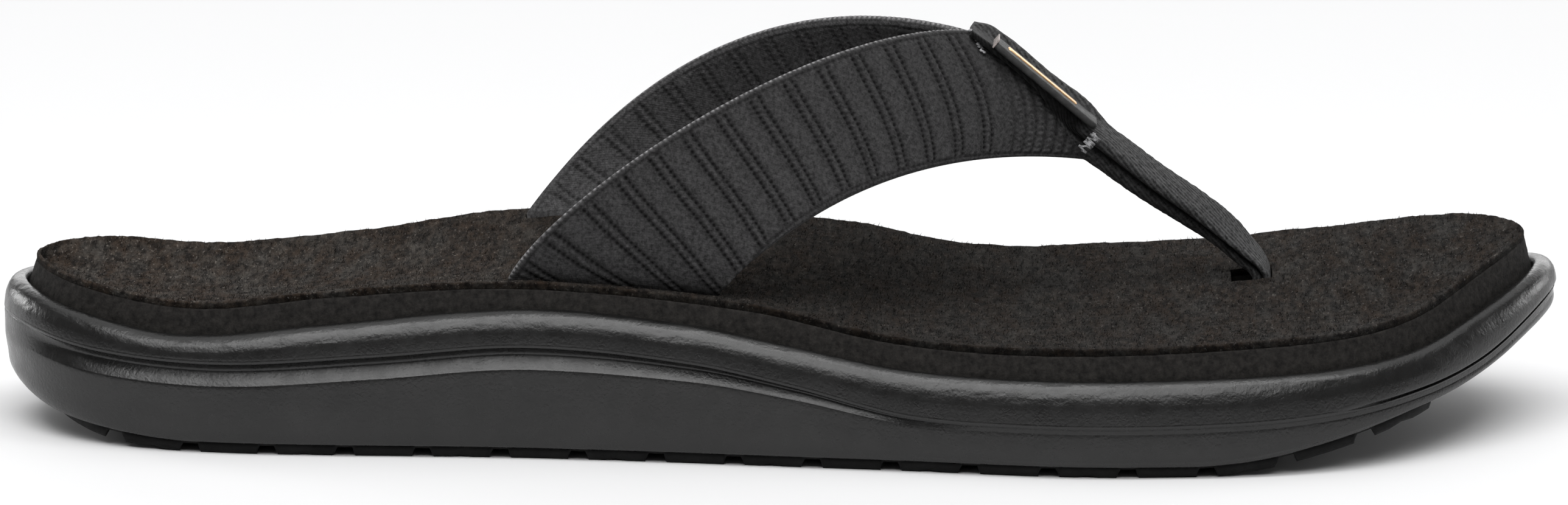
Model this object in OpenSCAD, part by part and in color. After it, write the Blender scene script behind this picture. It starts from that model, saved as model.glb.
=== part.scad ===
// Sport flip flop for the right foot: a foam sole in a moulded carrier with a
// webbing yoke.  The pattern is drawn with x running from the heel to the toe,
// y towards the inner side of the foot and z up from the ground.

/* [Sole] */
// Length of the sole from heel to toe
sole_length = 263.5; // [230:0.5:290]
// Thickness of the rubber outsole, lugs included
outsole_thickness = 2.6; // [2.2:0.1:4]
// Depth of the grooves between the outsole lugs
lug_depth = 1.4; // [0.8:0.1:1.8]
// Distance from one outsole lug to the next
lug_pitch = 13; // [10:0.5:18]
// Step of the outsole inside the widest line of the side wall
outsole_inset = 1.8; // [1.2:0.1:3]
// Width of the groove between two lugs
groove_width = 3; // [2:0.5:5]
// Width of the rounded rim around the footbed
rim_width = 3.4; // [2.6:0.1:3.8]
// Depth of the concave line sculpted into the side wall
side_groove_depth = 1.6; // [0.5:0.1:2.4]

/* [Footbed] */
// Thickness of the footbed, foam and cover together
footbed_thickness = 7.5; // [6.5:0.1:9]
// Thickness of the brushed cover sheet
cover_thickness = 1.2; // [0.8:0.1:2]
// How far the middle of the heel lies below the footbed edge
heel_cup_depth = 2.4; // [0:0.1:3.5]

/* [Straps] */
// Thickness of the webbing
webbing_thickness = 2.2; // [1.6:0.1:2.6]
// Clearance around the webbing in its slots
slot_clearance = 0.2; // [0.1:0.05:0.4]
// Length of the webbing tab that is stitched to each anchor plate
tab_length = 9; // [6:0.5:11]
// Thickness of the anchor plates
plate_thickness = 1.2; // [1:0.1:1.5]

/* [Toe post] */
// Width of the toe post, across the foot
post_width = 7; // [5:0.5:8]
// Thickness of the folded tape that forms the toe post, along the foot
post_height = 5.6; // [4.6:0.2:6.4]
// Length of the slot that the toe post goes through, along the foot
post_slot_length = 7; // [7:0.5:9]
// Width of the tape that lies over the strap seam
seam_tape_width = 10; // [8:0.5:12]
// Diameter of the anchor disc under the toe post
disc_diameter = 16; // [12:1:20]

/* [Label] */
// Length of the label on the strap seam
label_length = 22; // [16:1:23]
// Width of the label
label_width = 7.5; // [6:0.5:10]
// Thickness of the label
label_thickness = 1.2; // [1:0.1:2.4]

/* [Hidden] */

// ---- Pattern: plan outline and height lines, drawn for a 263.5 mm sole ----

pattern_length = 263.5;

// Plan outline at the parting line, from the heel along the outer side to the toe and back
plan_points = [[-1.5, 0], [10, -22], [38, -32.5], [92, -35], [145, -41.5], [190, -46.5], [232, -35],
               [262, 9], [244, 38], [200, 46], [150, 40], [96, 32], [40, 32], [10, 22]];

// Heights against the distance from the heel
ground_line = [[0, 7], [8, 3.8], [16, 1.8], [24, 0.6], [32, 0], [40, 0], [192, 0], [200, 0], [210, 0.8],
               [220, 2.8], [232, 5.8], [245, 9.8], [262, 18]];
parting_line = [[0, 19.5], [17, 16.8], [38, 15.8], [64, 17.5], [90, 19.5], [117, 17.5], [134, 14.2],
                [152, 10], [170, 9], [208, 9.4], [232, 11.4], [248, 14.8], [262, 22.5]];
rim_line = [[0, 24.8], [14, 22], [32, 19.6], [56, 22], [90, 25], [117, 23.1], [133, 20.2],
            [152, 16.8], [172, 15.9], [210, 16.4], [236, 18], [248, 22], [262, 27.5]];
outer_edge_line = [[0, 29], [15, 26.6], [34, 24.8], [56, 27.2], [88, 29.1], [126, 26.5], [150, 21.9],
                   [172, 20.7], [212, 21.9], [236, 23.6], [250, 28], [262, 31]];
inner_edge_line = [[0, 29], [15, 27.4], [32, 25.1], [56, 27], [82, 31], [108, 31.7], [141, 28.1],
                   [160, 24], [176, 23], [204, 24.2], [230, 27.6], [248, 31], [262, 32.5]];

// Number of points around the outline, per span between two pattern points
span_steps = 6;
// Number of strips across the sole in each surface that closes it
cross_steps = 6;

function spline_span(p, t) =
    [for (k = [-1 : 2]) p[(floor(t) + k + len(p)) % len(p)]];

function spline_point(p, t) =
    let (q = spline_span(p, t), f = t - floor(t))
    (2 * q[1] + (q[2] - q[0]) * f + (2 * q[0] - 5 * q[1] + 4 * q[2] - q[3]) * f ^ 2
     + (3 * q[1] - q[0] - 3 * q[2] + q[3]) * f ^ 3) / 2;

function spline_slope(p, t) =
    let (q = spline_span(p, t), f = t - floor(t))
    (q[2] - q[0] + 2 * (2 * q[0] - 5 * q[1] + 4 * q[2] - q[3]) * f
     + 3 * (3 * q[1] - q[0] - 3 * q[2] + q[3]) * f ^ 2) / 2;

edge_steps = len(plan_points) * span_steps;
edge_points = [for (k = [0 : edge_steps - 1]) spline_point(plan_points, k / span_steps)];
edge_inward = [for (k = [0 : edge_steps - 1])
               let (v = spline_slope(plan_points, k / span_steps)) [-v.y, v.x] / norm(v)];
centre_x = (max([for (p = edge_points) p.x]) + min([for (p = edge_points) p.x])) / 2;
centre_y = (max([for (p = edge_points) p.y]) + min([for (p = edge_points) p.y])) / 2;

// Smooth height of a line at distance x from the heel
function line_slope(line, i) =
    let (a = line[max(i - 1, 0)], b = line[min(i + 1, len(line) - 1)])
    (b.y - a.y) / (b.x - a.x);

function line_height(line, x) =
    let (last = len(line) - 1,
         held = min(max(x, line[0].x), line[last].x),
         i = max([for (j = [0 : last - 1]) if (line[j].x <= held) j]),
         h = line[i + 1].x - line[i].x,
         t = (held - line[i].x) / h)
    (2 * t ^ 3 - 3 * t ^ 2 + 1) * line[i].y + (t ^ 3 - 2 * t ^ 2 + t) * h * line_slope(line, i)
    + (3 * t ^ 2 - 2 * t ^ 3) * line[i + 1].y + (t ^ 3 - t ^ 2) * h * line_slope(line, i + 1);

function mix(a, b, t) = a + (b - a) * t;
function ease(t) = let (u = min(max(t, 0), 1)) u * u * (3 - 2 * u);

// Surfaces of the sole above a plan point
parting_z = function (p) line_height(parting_line, p.x);
rim_z = function (p) line_height(rim_line, p.x);
ground_z = function (p) max(0, line_height(ground_line, p.x));
carrier_z = function (p) ground_z(p) + outsole_thickness;
top_z = function (p)
    mix(line_height(outer_edge_line, p.x), line_height(inner_edge_line, p.x), ease((p.y + 30) / 60));
foam_top_z = function (p) top_z(p) - cover_thickness;
recess_z = function (p) top_z(p) - footbed_thickness;

// The footbed is cupped most at the heel and least at the toe
cup_depth = function (x) heel_cup_depth * (1 - 0.7 * ease((x - 60) / 90));

// ---- Ring solids: closed rings around the sole, joined and capped by strips across it ----

// One ring, inset from the outline, at the height that a surface function gives
function ring(inset, height) =
    [for (k = [0 : edge_steps - 1])
     let (d = is_function(inset) ? inset(edge_points[k]) : inset,
          p = edge_points[k] + edge_inward[k] * d)
     [p.x, p.y, height(p)]];

// Points of a closing surface between the ring's outer and inner side
function cap_points(edge, height, cup) =
    [for (k = [1 : edge_steps / 2 - 1], j = [1 : cross_steps - 1])
     let (u = j / cross_steps, q = mix(edge[k], edge[edge_steps - k], u))
     [q.x, q.y, height(q) - 4 * u * (1 - u) * cup(q.x)]];

// Index of a point of a closing surface: row k from the heel, column j from the outer side
function cap_index(k, j, ring_start, cap_start) =
    (j == 0 || k == 0 || k == edge_steps / 2) ? ring_start + k
    : j == cross_steps ? ring_start + edge_steps - k
    : cap_start + (k - 1) * (cross_steps - 1) + j - 1;

function cap_faces(ring_start, cap_start, up) =
    [for (k = [0 : edge_steps / 2 - 1], j = [0 : cross_steps - 1])
     let (a = cap_index(k, j, ring_start, cap_start),
          b = cap_index(k + 1, j, ring_start, cap_start),
          c = cap_index(k + 1, j + 1, ring_start, cap_start),
          d = cap_index(k, j + 1, ring_start, cap_start))
     each k == 0 ? [up ? [a, c, b] : [a, b, c]]
          : k == edge_steps / 2 - 1 ? [up ? [a, d, b] : [a, b, d]]
          : up ? [[a, c, b], [a, d, c]] : [[a, b, c], [a, c, d]]];

function wall_faces(rings) =
    [for (r = [0 : rings - 2], k = [0 : edge_steps - 1])
     let (a = r * edge_steps + k, b = r * edge_steps + (k + 1) % edge_steps)
     each [[a, b + edge_steps, b], [a, a + edge_steps, b + edge_steps]]];

flat_cup = function (x) 0;

module ring_solid(rings, bottom_height, top_height, bottom_cup, top_cup) {
    count = len(rings);
    bottom_points = cap_points(rings[0], bottom_height, bottom_cup);
    top_points = cap_points(rings[count - 1], top_height, top_cup);
    bottom_start = count * edge_steps;
    top_start = bottom_start + len(bottom_points);
    polyhedron(
        points = concat([for (r = rings) each r], bottom_points, top_points),
        faces = concat(wall_faces(count), cap_faces(0, bottom_start, false),
                       cap_faces((count - 1) * edge_steps, top_start, true)));
}

// ---- Straps: sheets spread between an upper and a lower edge curve ----

seam_y = 4.5;
// Curve of the seam where the two straps meet, from its lower to its upper end
seam_curve = [[182.5, seam_y, 44.2], [181.5, seam_y, 50.5], [171.5, seam_y, 59.2], [161.7, seam_y, 66]];
lateral_upper = [[86, -24.5, 28.9], [93.5, -32, 44], [137, -22, 72.5], [161.7, seam_y, 66]];
lateral_lower = [[121, -27.5, 27.3], [128, -35, 35], [146, -22, 53], [182.5, seam_y, 44.2]];
medial_upper = [[86, 21.5, 31.2], [100, 33, 50], [126, 24, 72.5], [161.7, seam_y, 66]];
medial_lower = [[121, 25.5, 31.8], [128, 35, 38], [146, 26, 54], [182.5, seam_y, 44.2]];
strap_steps = 24;
strap_columns = 6;

function bezier(c, t) =
    c[0] * (1 - t) ^ 3 + 3 * c[1] * (1 - t) ^ 2 * t + 3 * c[2] * (1 - t) * t ^ 2 + c[3] * t ^ 3;

function strap_mid(lower, upper, u, v) =
    mix(bezier(lower, u), bezier(upper, u), v)
    + (bezier(seam_curve, v) - mix(lower[3], upper[3], v)) * u ^ 3;

function unit(a) = a / norm(a);

// Unit normal of the strap sheet, pointing away from the foot
function strap_normal(lower, upper, u, v, side) =
    let (d = 0.01, w = min(max(v, d), 1 - d), s = min(u, 1 - d),
         along = strap_mid(lower, upper, s + d, w) - strap_mid(lower, upper, s, w),
         across = strap_mid(lower, upper, s, w + d) - strap_mid(lower, upper, s, w - d))
    unit(cross(across, along)) * side;

// Point of the strap at an offset from its middle surface; at the seam it is mitred
function strap_point(lower, upper, u, v, side, offset) =
    let (p = strap_mid(lower, upper, u, v) + strap_normal(lower, upper, u, v, side) * offset,
         along = strap_mid(lower, upper, 1, v) - strap_mid(lower, upper, 0.97, v))
    u < 1 ? p : p + along * (seam_y - p.y) / along.y;

// Rows of [inner, outer] point pairs; each row has one pair per column
function strap_rows(lower, upper, side, first, last, steps, low, high) =
    [for (i = [0 : steps])
     let (u = mix(first, last, i / steps))
     [for (j = [0 : strap_columns])
      let (v = j / strap_columns)
      [strap_point(lower, upper, u, v, side, low), strap_point(lower, upper, u, v, side, high)]]];

// The tail drops through its slot and turns inwards under the carrier as a flat tab
function tail_rows(lower, upper, side) =
    let (out = unit(cross(upper[0] - lower[0], [0, 0, 1])) * side,
         half = webbing_thickness / 2,
         low_z = outsole_thickness + plate_thickness + half)
    [for (stage = [[-tab_length, [0, 0, -half]], [0, out * half - [0, 0, half]]])
     [for (j = [0 : strap_columns])
      let (p = mix(lower[0], upper[0], j / strap_columns),
           q = [p.x, p.y, low_z] + out * stage[0])
      [q - stage[1], q + stage[1]]]];

function slot_rows(lower, upper, side) =
    let (out = unit(cross(upper[0] - lower[0], [0, 0, 1])) * side * webbing_thickness / 2)
    [[for (j = [0 : strap_columns])
      let (p = mix(lower[0], upper[0], j / strap_columns)) [p - out, p + out]]];

// Closed sheet from rows of point pairs; flip turns its faces for the mirrored side
module sheet_solid(rows, flip) {
    columns = len(rows[0]);
    last = len(rows) - 1;
    points = [for (row = rows) for (pair = row) each pair];
    function at(i, j, side) = 2 * (i * columns + j) + side;
    quads = concat(
        [for (i = [0 : last - 1], j = [0 : columns - 2])
         each [[at(i, j, 1), at(i + 1, j, 1), at(i + 1, j + 1, 1), at(i, j + 1, 1)],
               [at(i, j, 0), at(i, j + 1, 0), at(i + 1, j + 1, 0), at(i + 1, j, 0)]]],
        [for (i = [0 : last - 1])
         each [[at(i, 0, 0), at(i + 1, 0, 0), at(i + 1, 0, 1), at(i, 0, 1)],
               [at(i, columns - 1, 1), at(i + 1, columns - 1, 1),
                at(i + 1, columns - 1, 0), at(i, columns - 1, 0)]]],
        [for (j = [0 : columns - 2])
         each [[at(0, j, 1), at(0, j + 1, 1), at(0, j + 1, 0), at(0, j, 0)],
               [at(last, j, 0), at(last, j + 1, 0), at(last, j + 1, 1), at(last, j, 1)]]]);
    triangles = [for (q = quads) each [[q[0], q[1], q[2]], [q[0], q[2], q[3]]]];
    polyhedron(points = points, faces = [for (t = triangles) flip ? [t[2], t[1], t[0]] : t]);
}

module strap(lower, upper, side) {
    half = webbing_thickness / 2;
    rows = strap_rows(lower, upper, side, 1 / strap_steps, 1, strap_steps - 1, -half, half);
    sheet_solid(concat(tail_rows(lower, upper, side), slot_rows(lower, upper, side), rows),
                side < 0);
}

// ---- Toe post: a tape over the seam that folds into a thick post ----

seam_tape_thickness = 1.2;
disc_thickness = 2.4;
disc_z = outsole_thickness + 2.8;
post_foot_z = disc_z + disc_thickness;
// Middle of the toe post's slot in the footbed; the post stands at its toe end
post_x = 210.4;
post_y = 11;
post_face_x = post_x + post_slot_length / 2 - slot_clearance;

// Middle of the tape's upper face: [x, y, z, how far the tape is folded into the post]
post_route = [[163.5, 5, 65.8, 0], [169, 5, 62.4, 0], [175, 5, 57.3, 0.05], [179, 4.9, 54.1, 0.4],
              [183, 4.7, 50.9, 0.9], [188.3, 5.4, 46.8, 1], [194.7, 6.8, 41.6, 1], [201.1, 8.8, 36.7, 1],
              [206, 10, 32.6, 1], [209.8, 10.7, 28.6, 1], [212.6, 11, 24.4, 1],
              [post_face_x, post_y, 18, 1], [post_face_x, post_y, post_foot_z, 1]];
post_steps = 16;

function post_top(i) = [post_route[i].x, post_route[i].y, post_route[i].z];

// Section of the post: a rounded rectangle that hangs under the upper face
function post_section(i) =
    let (last = len(post_route) - 1,
         ahead = i == last ? [0, 0, -1]
                 : unit(post_top(min(i + 1, last)) - post_top(max(i - 1, 0))),
         across = unit(cross([1, 0, 1], ahead)),
         up = cross(ahead, across),
         fold = post_route[i][3],
         w = mix(seam_tape_width, post_width, fold) / 2,
         h = mix(seam_tape_thickness, post_height, fold) / 2,
         centre = post_top(i) - up * h)
    [for (k = [0 : post_steps - 1])
     let (a = 360 * k / post_steps, c = cos(a), s = sin(a))
     centre + across * w * sign(c) * abs(c) ^ 0.7 + up * h * sign(s) * abs(s) ^ 0.7];

// ---- Label plane: along the seam, facing forwards and up ----

label_pitch = 39.6;
// The label sits towards the outer edge of the tape
label_centre = [174.8, seam_y - 1.75, 57.1];

module on_label() {
    translate(label_centre)
    rotate([0, label_pitch, 0])
    children();
}

// ---- Small helpers ----

// Centres the pattern on the sole and grades it to the chosen length
module graded() {
    scale(sole_length / pattern_length)
    translate([-centre_x, -centre_y, 0])
    children();
}

// Frame of a strap slot: x along the slot, origin at its middle
module at_slot(lower, upper) {
    middle = (lower[0] + upper[0]) / 2;
    run = upper[0] - lower[0];
    translate([middle.x, middle.y, 0])
    rotate(atan2(run.y, run.x) + 180)
    children();
}

function slot_length(lower, upper) = norm([upper[0].x - lower[0].x, upper[0].y - lower[0].y]);

module block(x, y, low, high) {
    translate([-x / 2, -y / 2, low])
    cube([x, y, high - low]);
}

// Everything that passes through the footbed and the carrier
module passages() {
    gap = 2 * slot_clearance;
    for (s = [[lateral_lower, lateral_upper], [medial_lower, medial_upper]])
        at_slot(s[0], s[1])
        block(slot_length(s[0], s[1]) + gap, webbing_thickness + gap, 0, 50);
    translate([post_x, post_y, 0])
    block(post_slot_length, post_width + gap, post_foot_z, 50);
}

plate_width = tab_length + 3;
pocket_height = plate_thickness + webbing_thickness + 1;
stitch_diameter = 0.8;
stitch_length = 3;
stitch_count = 6;

// Places children on the tab of a strap, with y inwards from the slot
module on_tab(lower, upper, side) {
    at_slot(lower, upper)
    translate([0, -side * tab_length / 2, 0])
    children();
}

module anchor_pocket(lower, upper, side) {
    on_tab(lower, upper, side)
    block(slot_length(lower, upper) + 3, plate_width, 0, outsole_thickness + pocket_height);
}

module anchor_plate(lower, upper, side) {
    on_tab(lower, upper, side)
    block(slot_length(lower, upper) + 2, plate_width - 0.6,
          outsole_thickness, outsole_thickness + plate_thickness);
}

module anchor_stitches(lower, upper, side) {
    spacing = slot_length(lower, upper) / stitch_count;
    top = outsole_thickness + plate_thickness + webbing_thickness;
    on_tab(lower, upper, side)
    for (i = [0 : stitch_count - 1])
        translate([(i - (stitch_count - 1) / 2) * spacing - stitch_length / 2, 0,
                   top + stitch_diameter / 2])
        rotate([0, 90, 0])
        cylinder(h = stitch_length, d = stitch_diameter, $fn = 16);
}

// A row of thread bites across the strap, each a small rod that lies along the strap
module bartack(bites, spacing, length) {
    for (i = [0 : bites - 1])
        translate([0, (i - (bites - 1) / 2) * spacing, stitch_diameter / 2])
        rotate([0, 90, 0])
        cylinder(h = length, d = stitch_diameter, center = true, $fn = 16);
}

// Places children on the outer face of a strap at sheet position (u, v)
module on_strap(lower, upper, u, v, side) {
    n = strap_normal(lower, upper, u, v, side);
    p = strap_point(lower, upper, u, v, side, webbing_thickness / 2);
    along = unit(strap_mid(lower, upper, u + 0.01, v) - strap_mid(lower, upper, u, v));
    across = cross(n, along);
    multmatrix([[along.x, across.x, n.x, p.x], [along.y, across.y, n.y, p.y],
                [along.z, across.z, n.z, p.z]])
    children();
}

// ---- Sub-parts ----

// Flat side view of the outsole sheet between the ground line and the carrier
module outsole_side() {
    xs = [for (i = [0 : 48]) mix(0, pattern_length - 3, ease_ends(i / 48))];
    polygon(concat([for (x = xs) [x, ground_z([x, 0])]],
                   [for (i = [len(xs) - 1 : -1 : 0]) [xs[i], carrier_z([xs[i], 0])]]));
}

// Spreads values so that both ends of the sole get closer points than its middle
function ease_ends(t) = t - 0.13 * sin(360 * t);

module outsole() {
    lug_rows = floor((pattern_length - 30) / lug_pitch);
    color("dimgray")
    graded()
    difference() {
        intersection() {
            linear_extrude(height = 40)
            polygon([for (p = ring(outsole_inset, ground_z)) [p.x, p.y]]);
            translate([0, 60, 0])
            rotate([90, 0, 0])
            linear_extrude(height = 120)
            outsole_side();
        }
        for (i = [0 : lug_rows])
            let (x = 20 + i * lug_pitch)
            translate([x - groove_width / 2, -60, ground_z([x, 0]) - 5])
            cube([groove_width, 120, 5 + lug_depth]);
    }
}

module midsole() {
    side_groove = function (p) side_groove_depth * (1 - 0.75 * ease((p.x - 110) / 60));
    groove_height = function (p) 4.4 - 3 * ease((p.x - 90) / 80);
    ridge_inset = function (p) 0.5 * ease(p.x / 40);
    ridge_z = function (p) parting_z(p) - groove_height(p);
    lower = [ring(outsole_inset, carrier_z),
             ring(outsole_inset - 0.9, function (p) carrier_z(p) + 0.5),
             ring(0.4, function (p) mix(carrier_z(p), ridge_z(p), 0.4)),
             ring(ridge_inset, ridge_z),
             ring(side_groove, function (p) parting_z(p) - 0.45 * groove_height(p)),
             ring(0, function (p) parting_z(p) - 0.4)];
    bead = [for (a = [8 : 27 : 90])
            ring(rim_width * (1 - cos(a)), function (p) mix(parting_z(p), rim_z(p), sin(a)))];
    recess = [ring(rim_width + 0.6, function (p) rim_z(p) - 0.8), recess_rim, recess_floor];
    color("#1d1d1f")
    graded()
    difference() {
        ring_solid(concat(lower, bead, recess), carrier_z, recess_z, flat_cup, cup_depth);
        passages();
        anchor_pocket(lateral_lower, lateral_upper, -1);
        anchor_pocket(medial_lower, medial_upper, 1);
        translate([post_x, post_y, disc_z])
        cylinder(h = disc_thickness, d = disc_diameter, $fn = 48);
    }
}

recess_inset = rim_width + 0.8;
recess_rim = ring(recess_inset, function (p) rim_z(p) - 1.6);
recess_floor = ring(recess_inset, recess_z);
foam_edge = ring(recess_inset + 1.4, foam_top_z);

module footbed_foam() {
    color("#2a2a2c")
    graded()
    difference() {
        ring_solid([recess_floor, recess_rim, foam_edge], recess_z, foam_top_z, cup_depth, cup_depth);
        passages();
    }
}

module footbed_cover() {
    shoulder = ring(recess_inset + 1.5, function (p) top_z(p) - 0.3);
    top_edge = ring(recess_inset + 1.9, top_z);
    color("#35312d")
    graded()
    difference() {
        ring_solid([foam_edge, shoulder, top_edge], foam_top_z, top_z, cup_depth, cup_depth);
        passages();
    }
}

module strap_lateral() {
    color("#333436")
    graded()
    strap(lateral_lower, lateral_upper, -1);
}

module strap_medial() {
    color("#333436")
    graded()
    strap(medial_lower, medial_upper, 1);
}

// Soft lining under the seam, one leaf on each strap
module vamp_lining() {
    half = webbing_thickness / 2;
    color("#202022")
    graded() {
        sheet_solid(strap_rows(lateral_lower, lateral_upper, -1, 0.88, 1, 3, -half - 1, -half), true);
        sheet_solid(strap_rows(medial_lower, medial_upper, 1, 0.88, 1, 3, -half - 1, -half), false);
    }
}

module toe_post() {
    sections = [for (i = [0 : len(post_route) - 1]) post_section(i)];
    last = len(sections) - 1;
    points = [for (s = sections) each s];
    walls = [for (i = [0 : last - 1], k = [0 : post_steps - 1])
             let (a = i * post_steps + k, b = i * post_steps + (k + 1) % post_steps)
             each [[a, b + post_steps, b], [a, a + post_steps, b + post_steps]]];
    ends = [[for (k = [0 : post_steps - 1]) k],
            [for (k = [post_steps - 1 : -1 : 0]) last * post_steps + k]];
    color("#2b2b2d")
    graded()
    polyhedron(points = points, faces = concat(walls, ends));
}

module toe_post_anchor() {
    color("gray")
    graded()
    translate([post_x, post_y, disc_z])
    cylinder(h = disc_thickness, d = disc_diameter, $fn = 48);
}

module anchor_plate_lateral() {
    color("gray")
    graded()
    anchor_plate(lateral_lower, lateral_upper, -1);
}

module anchor_plate_medial() {
    color("gray")
    graded()
    anchor_plate(medial_lower, medial_upper, 1);
}

module anchor_stitches_lateral() {
    color("silver")
    graded()
    anchor_stitches(lateral_lower, lateral_upper, -1);
}

module anchor_stitches_medial() {
    color("silver")
    graded()
    anchor_stitches(medial_lower, medial_upper, 1);
}

inlay_length = 15;
inlay_width = 2;
inlay_depth = 0.4;
inlay_shift = -1.3;

module label_plate(length, width, height) {
    linear_extrude(height = height)
    offset(r = 1, $fn = 16)
    square([length - 2, width - 2], center = true);
}

module label() {
    color("#3c3c3e")
    graded()
    on_label()
    difference() {
        label_plate(label_length, label_width, label_thickness);
        translate([inlay_shift, 0, label_thickness - inlay_depth])
        linear_extrude(height = 1)
        square([inlay_length, inlay_width], center = true);
    }
}

module label_inlay() {
    color("#b87333")
    graded()
    on_label()
    translate([inlay_shift, 0, label_thickness - inlay_depth])
    linear_extrude(height = inlay_depth)
    square([inlay_length, inlay_width], center = true);
}

module bartack_apex() {
    color("silver")
    graded()
    on_strap(lateral_lower, lateral_upper, 0.965, 0.86, -1)
    bartack(6, 1, 1.4);
}

module bartack_lateral() {
    color("silver")
    graded()
    on_strap(lateral_lower, lateral_upper, 0.972, 0.16, -1)
    bartack(4, 1, 2.4);
}

module bartack_medial() {
    color("silver")
    graded()
    on_strap(medial_lower, medial_upper, 0.972, 0.16, 1)
    bartack(4, 1, 2.4);
}

outsole();
midsole();
footbed_foam();
footbed_cover();
strap_lateral();
strap_medial();
vamp_lining();
toe_post();
toe_post_anchor();
anchor_plate_lateral();
anchor_plate_medial();
anchor_stitches_lateral();
anchor_stitches_medial();
label();
label_inlay();
bartack_apex();
bartack_lateral();
bartack_medial();
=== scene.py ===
import math

import bpy
import numpy as np
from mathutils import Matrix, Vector, noise

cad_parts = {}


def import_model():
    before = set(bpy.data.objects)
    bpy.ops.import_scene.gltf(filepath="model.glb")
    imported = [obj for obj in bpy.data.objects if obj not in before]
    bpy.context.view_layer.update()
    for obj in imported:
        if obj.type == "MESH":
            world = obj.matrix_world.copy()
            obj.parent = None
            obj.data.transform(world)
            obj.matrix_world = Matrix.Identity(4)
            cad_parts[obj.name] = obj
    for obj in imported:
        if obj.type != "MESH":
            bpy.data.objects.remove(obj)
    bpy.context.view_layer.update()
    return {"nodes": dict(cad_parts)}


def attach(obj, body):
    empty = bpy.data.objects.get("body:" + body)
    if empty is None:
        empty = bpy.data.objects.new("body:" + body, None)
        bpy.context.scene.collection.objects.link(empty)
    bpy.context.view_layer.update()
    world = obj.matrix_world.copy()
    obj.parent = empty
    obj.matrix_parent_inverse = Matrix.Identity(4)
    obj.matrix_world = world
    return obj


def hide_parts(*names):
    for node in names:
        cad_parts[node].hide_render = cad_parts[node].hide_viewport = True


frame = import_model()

rng = np.random.default_rng(7)

# ---------------------------------------------------------------- pattern, in millimetres
# x runs from the heel to the toe, y towards the inner side of the foot, z up.

MM = 0.001
LENGTH = 263.5
PLAN = np.array([(-1.5, 0), (10, -22), (38, -32.5), (92, -35), (145, -41.5), (190, -46.5), (232, -35),
                 (262, 9), (244, 38), (200, 46), (150, 40), (96, 32), (40, 32), (10, 22)], float)
GROUND = [(0, 7), (8, 3.8), (16, 1.8), (24, 0.6), (32, 0), (40, 0), (192, 0), (200, 0),
          (210, 0.8), (220, 2.8), (232, 5.8), (245, 9.8), (262, 18)]
PARTING = [(0, 19.5), (17, 16.8), (38, 15.8), (64, 17.5), (90, 19.5), (117, 17.5), (134, 14.2),
           (152, 10), (170, 9), (208, 9.4), (232, 11.4), (248, 14.8), (262, 22.5)]
RIM = [(0, 24.8), (14, 22), (32, 19.6), (56, 22), (90, 25), (117, 23.1), (133, 20.2),
       (152, 16.8), (172, 15.9), (210, 16.4), (236, 18), (248, 22), (262, 27.5)]
OUTER_EDGE = [(0, 29), (15, 26.6), (34, 24.8), (56, 27.2), (88, 29.1), (126, 26.5), (150, 21.9),
              (172, 20.7), (212, 21.9), (236, 23.6), (250, 28), (262, 31)]
INNER_EDGE = [(0, 29), (15, 27.4), (32, 25.1), (56, 27), (82, 31), (108, 31.7), (141, 28.1),
              (160, 24), (176, 23), (204, 24.2), (230, 27.6), (248, 31), (262, 32.5)]
OUTSOLE = 2.6
OUTSOLE_INSET = 1.8
LUG_DEPTH = 1.4
LUG_PITCH = 13.0
LUG_GROOVE = 3.0
FIRST_GROOVE = 20.0
RIM_WIDTH = 3.4
FOOTBED = 7.5
COVER = 1.2
HEEL_CUP = 2.4
RECESS_INSET = RIM_WIDTH + 0.8
SIDE_GROOVE = 1.9
SIDE_SLANT = 1.35


def mix(a, b, t):
    """From a to b as t goes from 0 to 1."""
    return a + (b - a) * t


def ease(t):
    """Smooth step from 0 to 1, flat beyond them."""
    u = np.clip(t, 0, 1)
    return u * u * (3 - 2 * u)


def wave(value, pitch):
    return np.sin(2 * np.pi * value / pitch)


def ripple(value, pitch):
    """Wave between 0 and 1."""
    return 0.5 + 0.5 * wave(value, pitch)


def bump(t, centre, width):
    """Bell curve of height 1 at a centre."""
    return np.exp(-((t - centre) / width) ** 2)


def spline(points, t):
    """Points and slopes of a closed curve through points, at parameters t."""
    n = len(points)
    i = np.floor(t).astype(int)
    f = (t - i)[:, None]
    a, b, c, d = (points[(i + k) % n] for k in (-1, 0, 1, 2))
    p2, p3 = 2 * a - 5 * b + 4 * c - d, 3 * b - a - 3 * c + d
    place = (2 * b + (c - a) * f + p2 * f ** 2 + p3 * f ** 3) / 2
    return place, (c - a + 2 * p2 * f + 3 * p3 * f ** 2) / 2


def height(line, x):
    """Smooth height of a line at distances x from the heel."""
    xs, ys = np.array(line, float).T
    x = np.clip(x, xs[0], xs[-1])
    i = np.clip(np.searchsorted(xs, x, "right") - 1, 0, len(xs) - 2)
    slope = np.empty(len(xs))
    slope[1:-1] = (ys[2:] - ys[:-2]) / (xs[2:] - xs[:-2])
    slope[0] = (ys[1] - ys[0]) / (xs[1] - xs[0])
    slope[-1] = (ys[-1] - ys[-2]) / (xs[-1] - xs[-2])
    h = xs[i + 1] - xs[i]
    t = (x - xs[i]) / h
    return ((2 * t ** 3 - 3 * t ** 2 + 1) * ys[i] + (t ** 3 - 2 * t ** 2 + t) * h * slope[i]
            + (3 * t ** 2 - 2 * t ** 3) * ys[i + 1] + (t ** 3 - t ** 2) * h * slope[i + 1])


def ground_z(x):
    """Underside of the sole: on the ground in the middle, rising at the heel and the toe."""
    return np.maximum(0, height(GROUND, x))


def top_z(x, y):
    """Height of the footbed's upper face at its edge."""
    return mix(height(OUTER_EDGE, x), height(INNER_EDGE, x), ease((y + 30) / 60))


def cup(x):
    """How far the footbed is hollowed out between its edges."""
    return HEEL_CUP * (1 - 0.7 * ease((x - 60) / 90))


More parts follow.
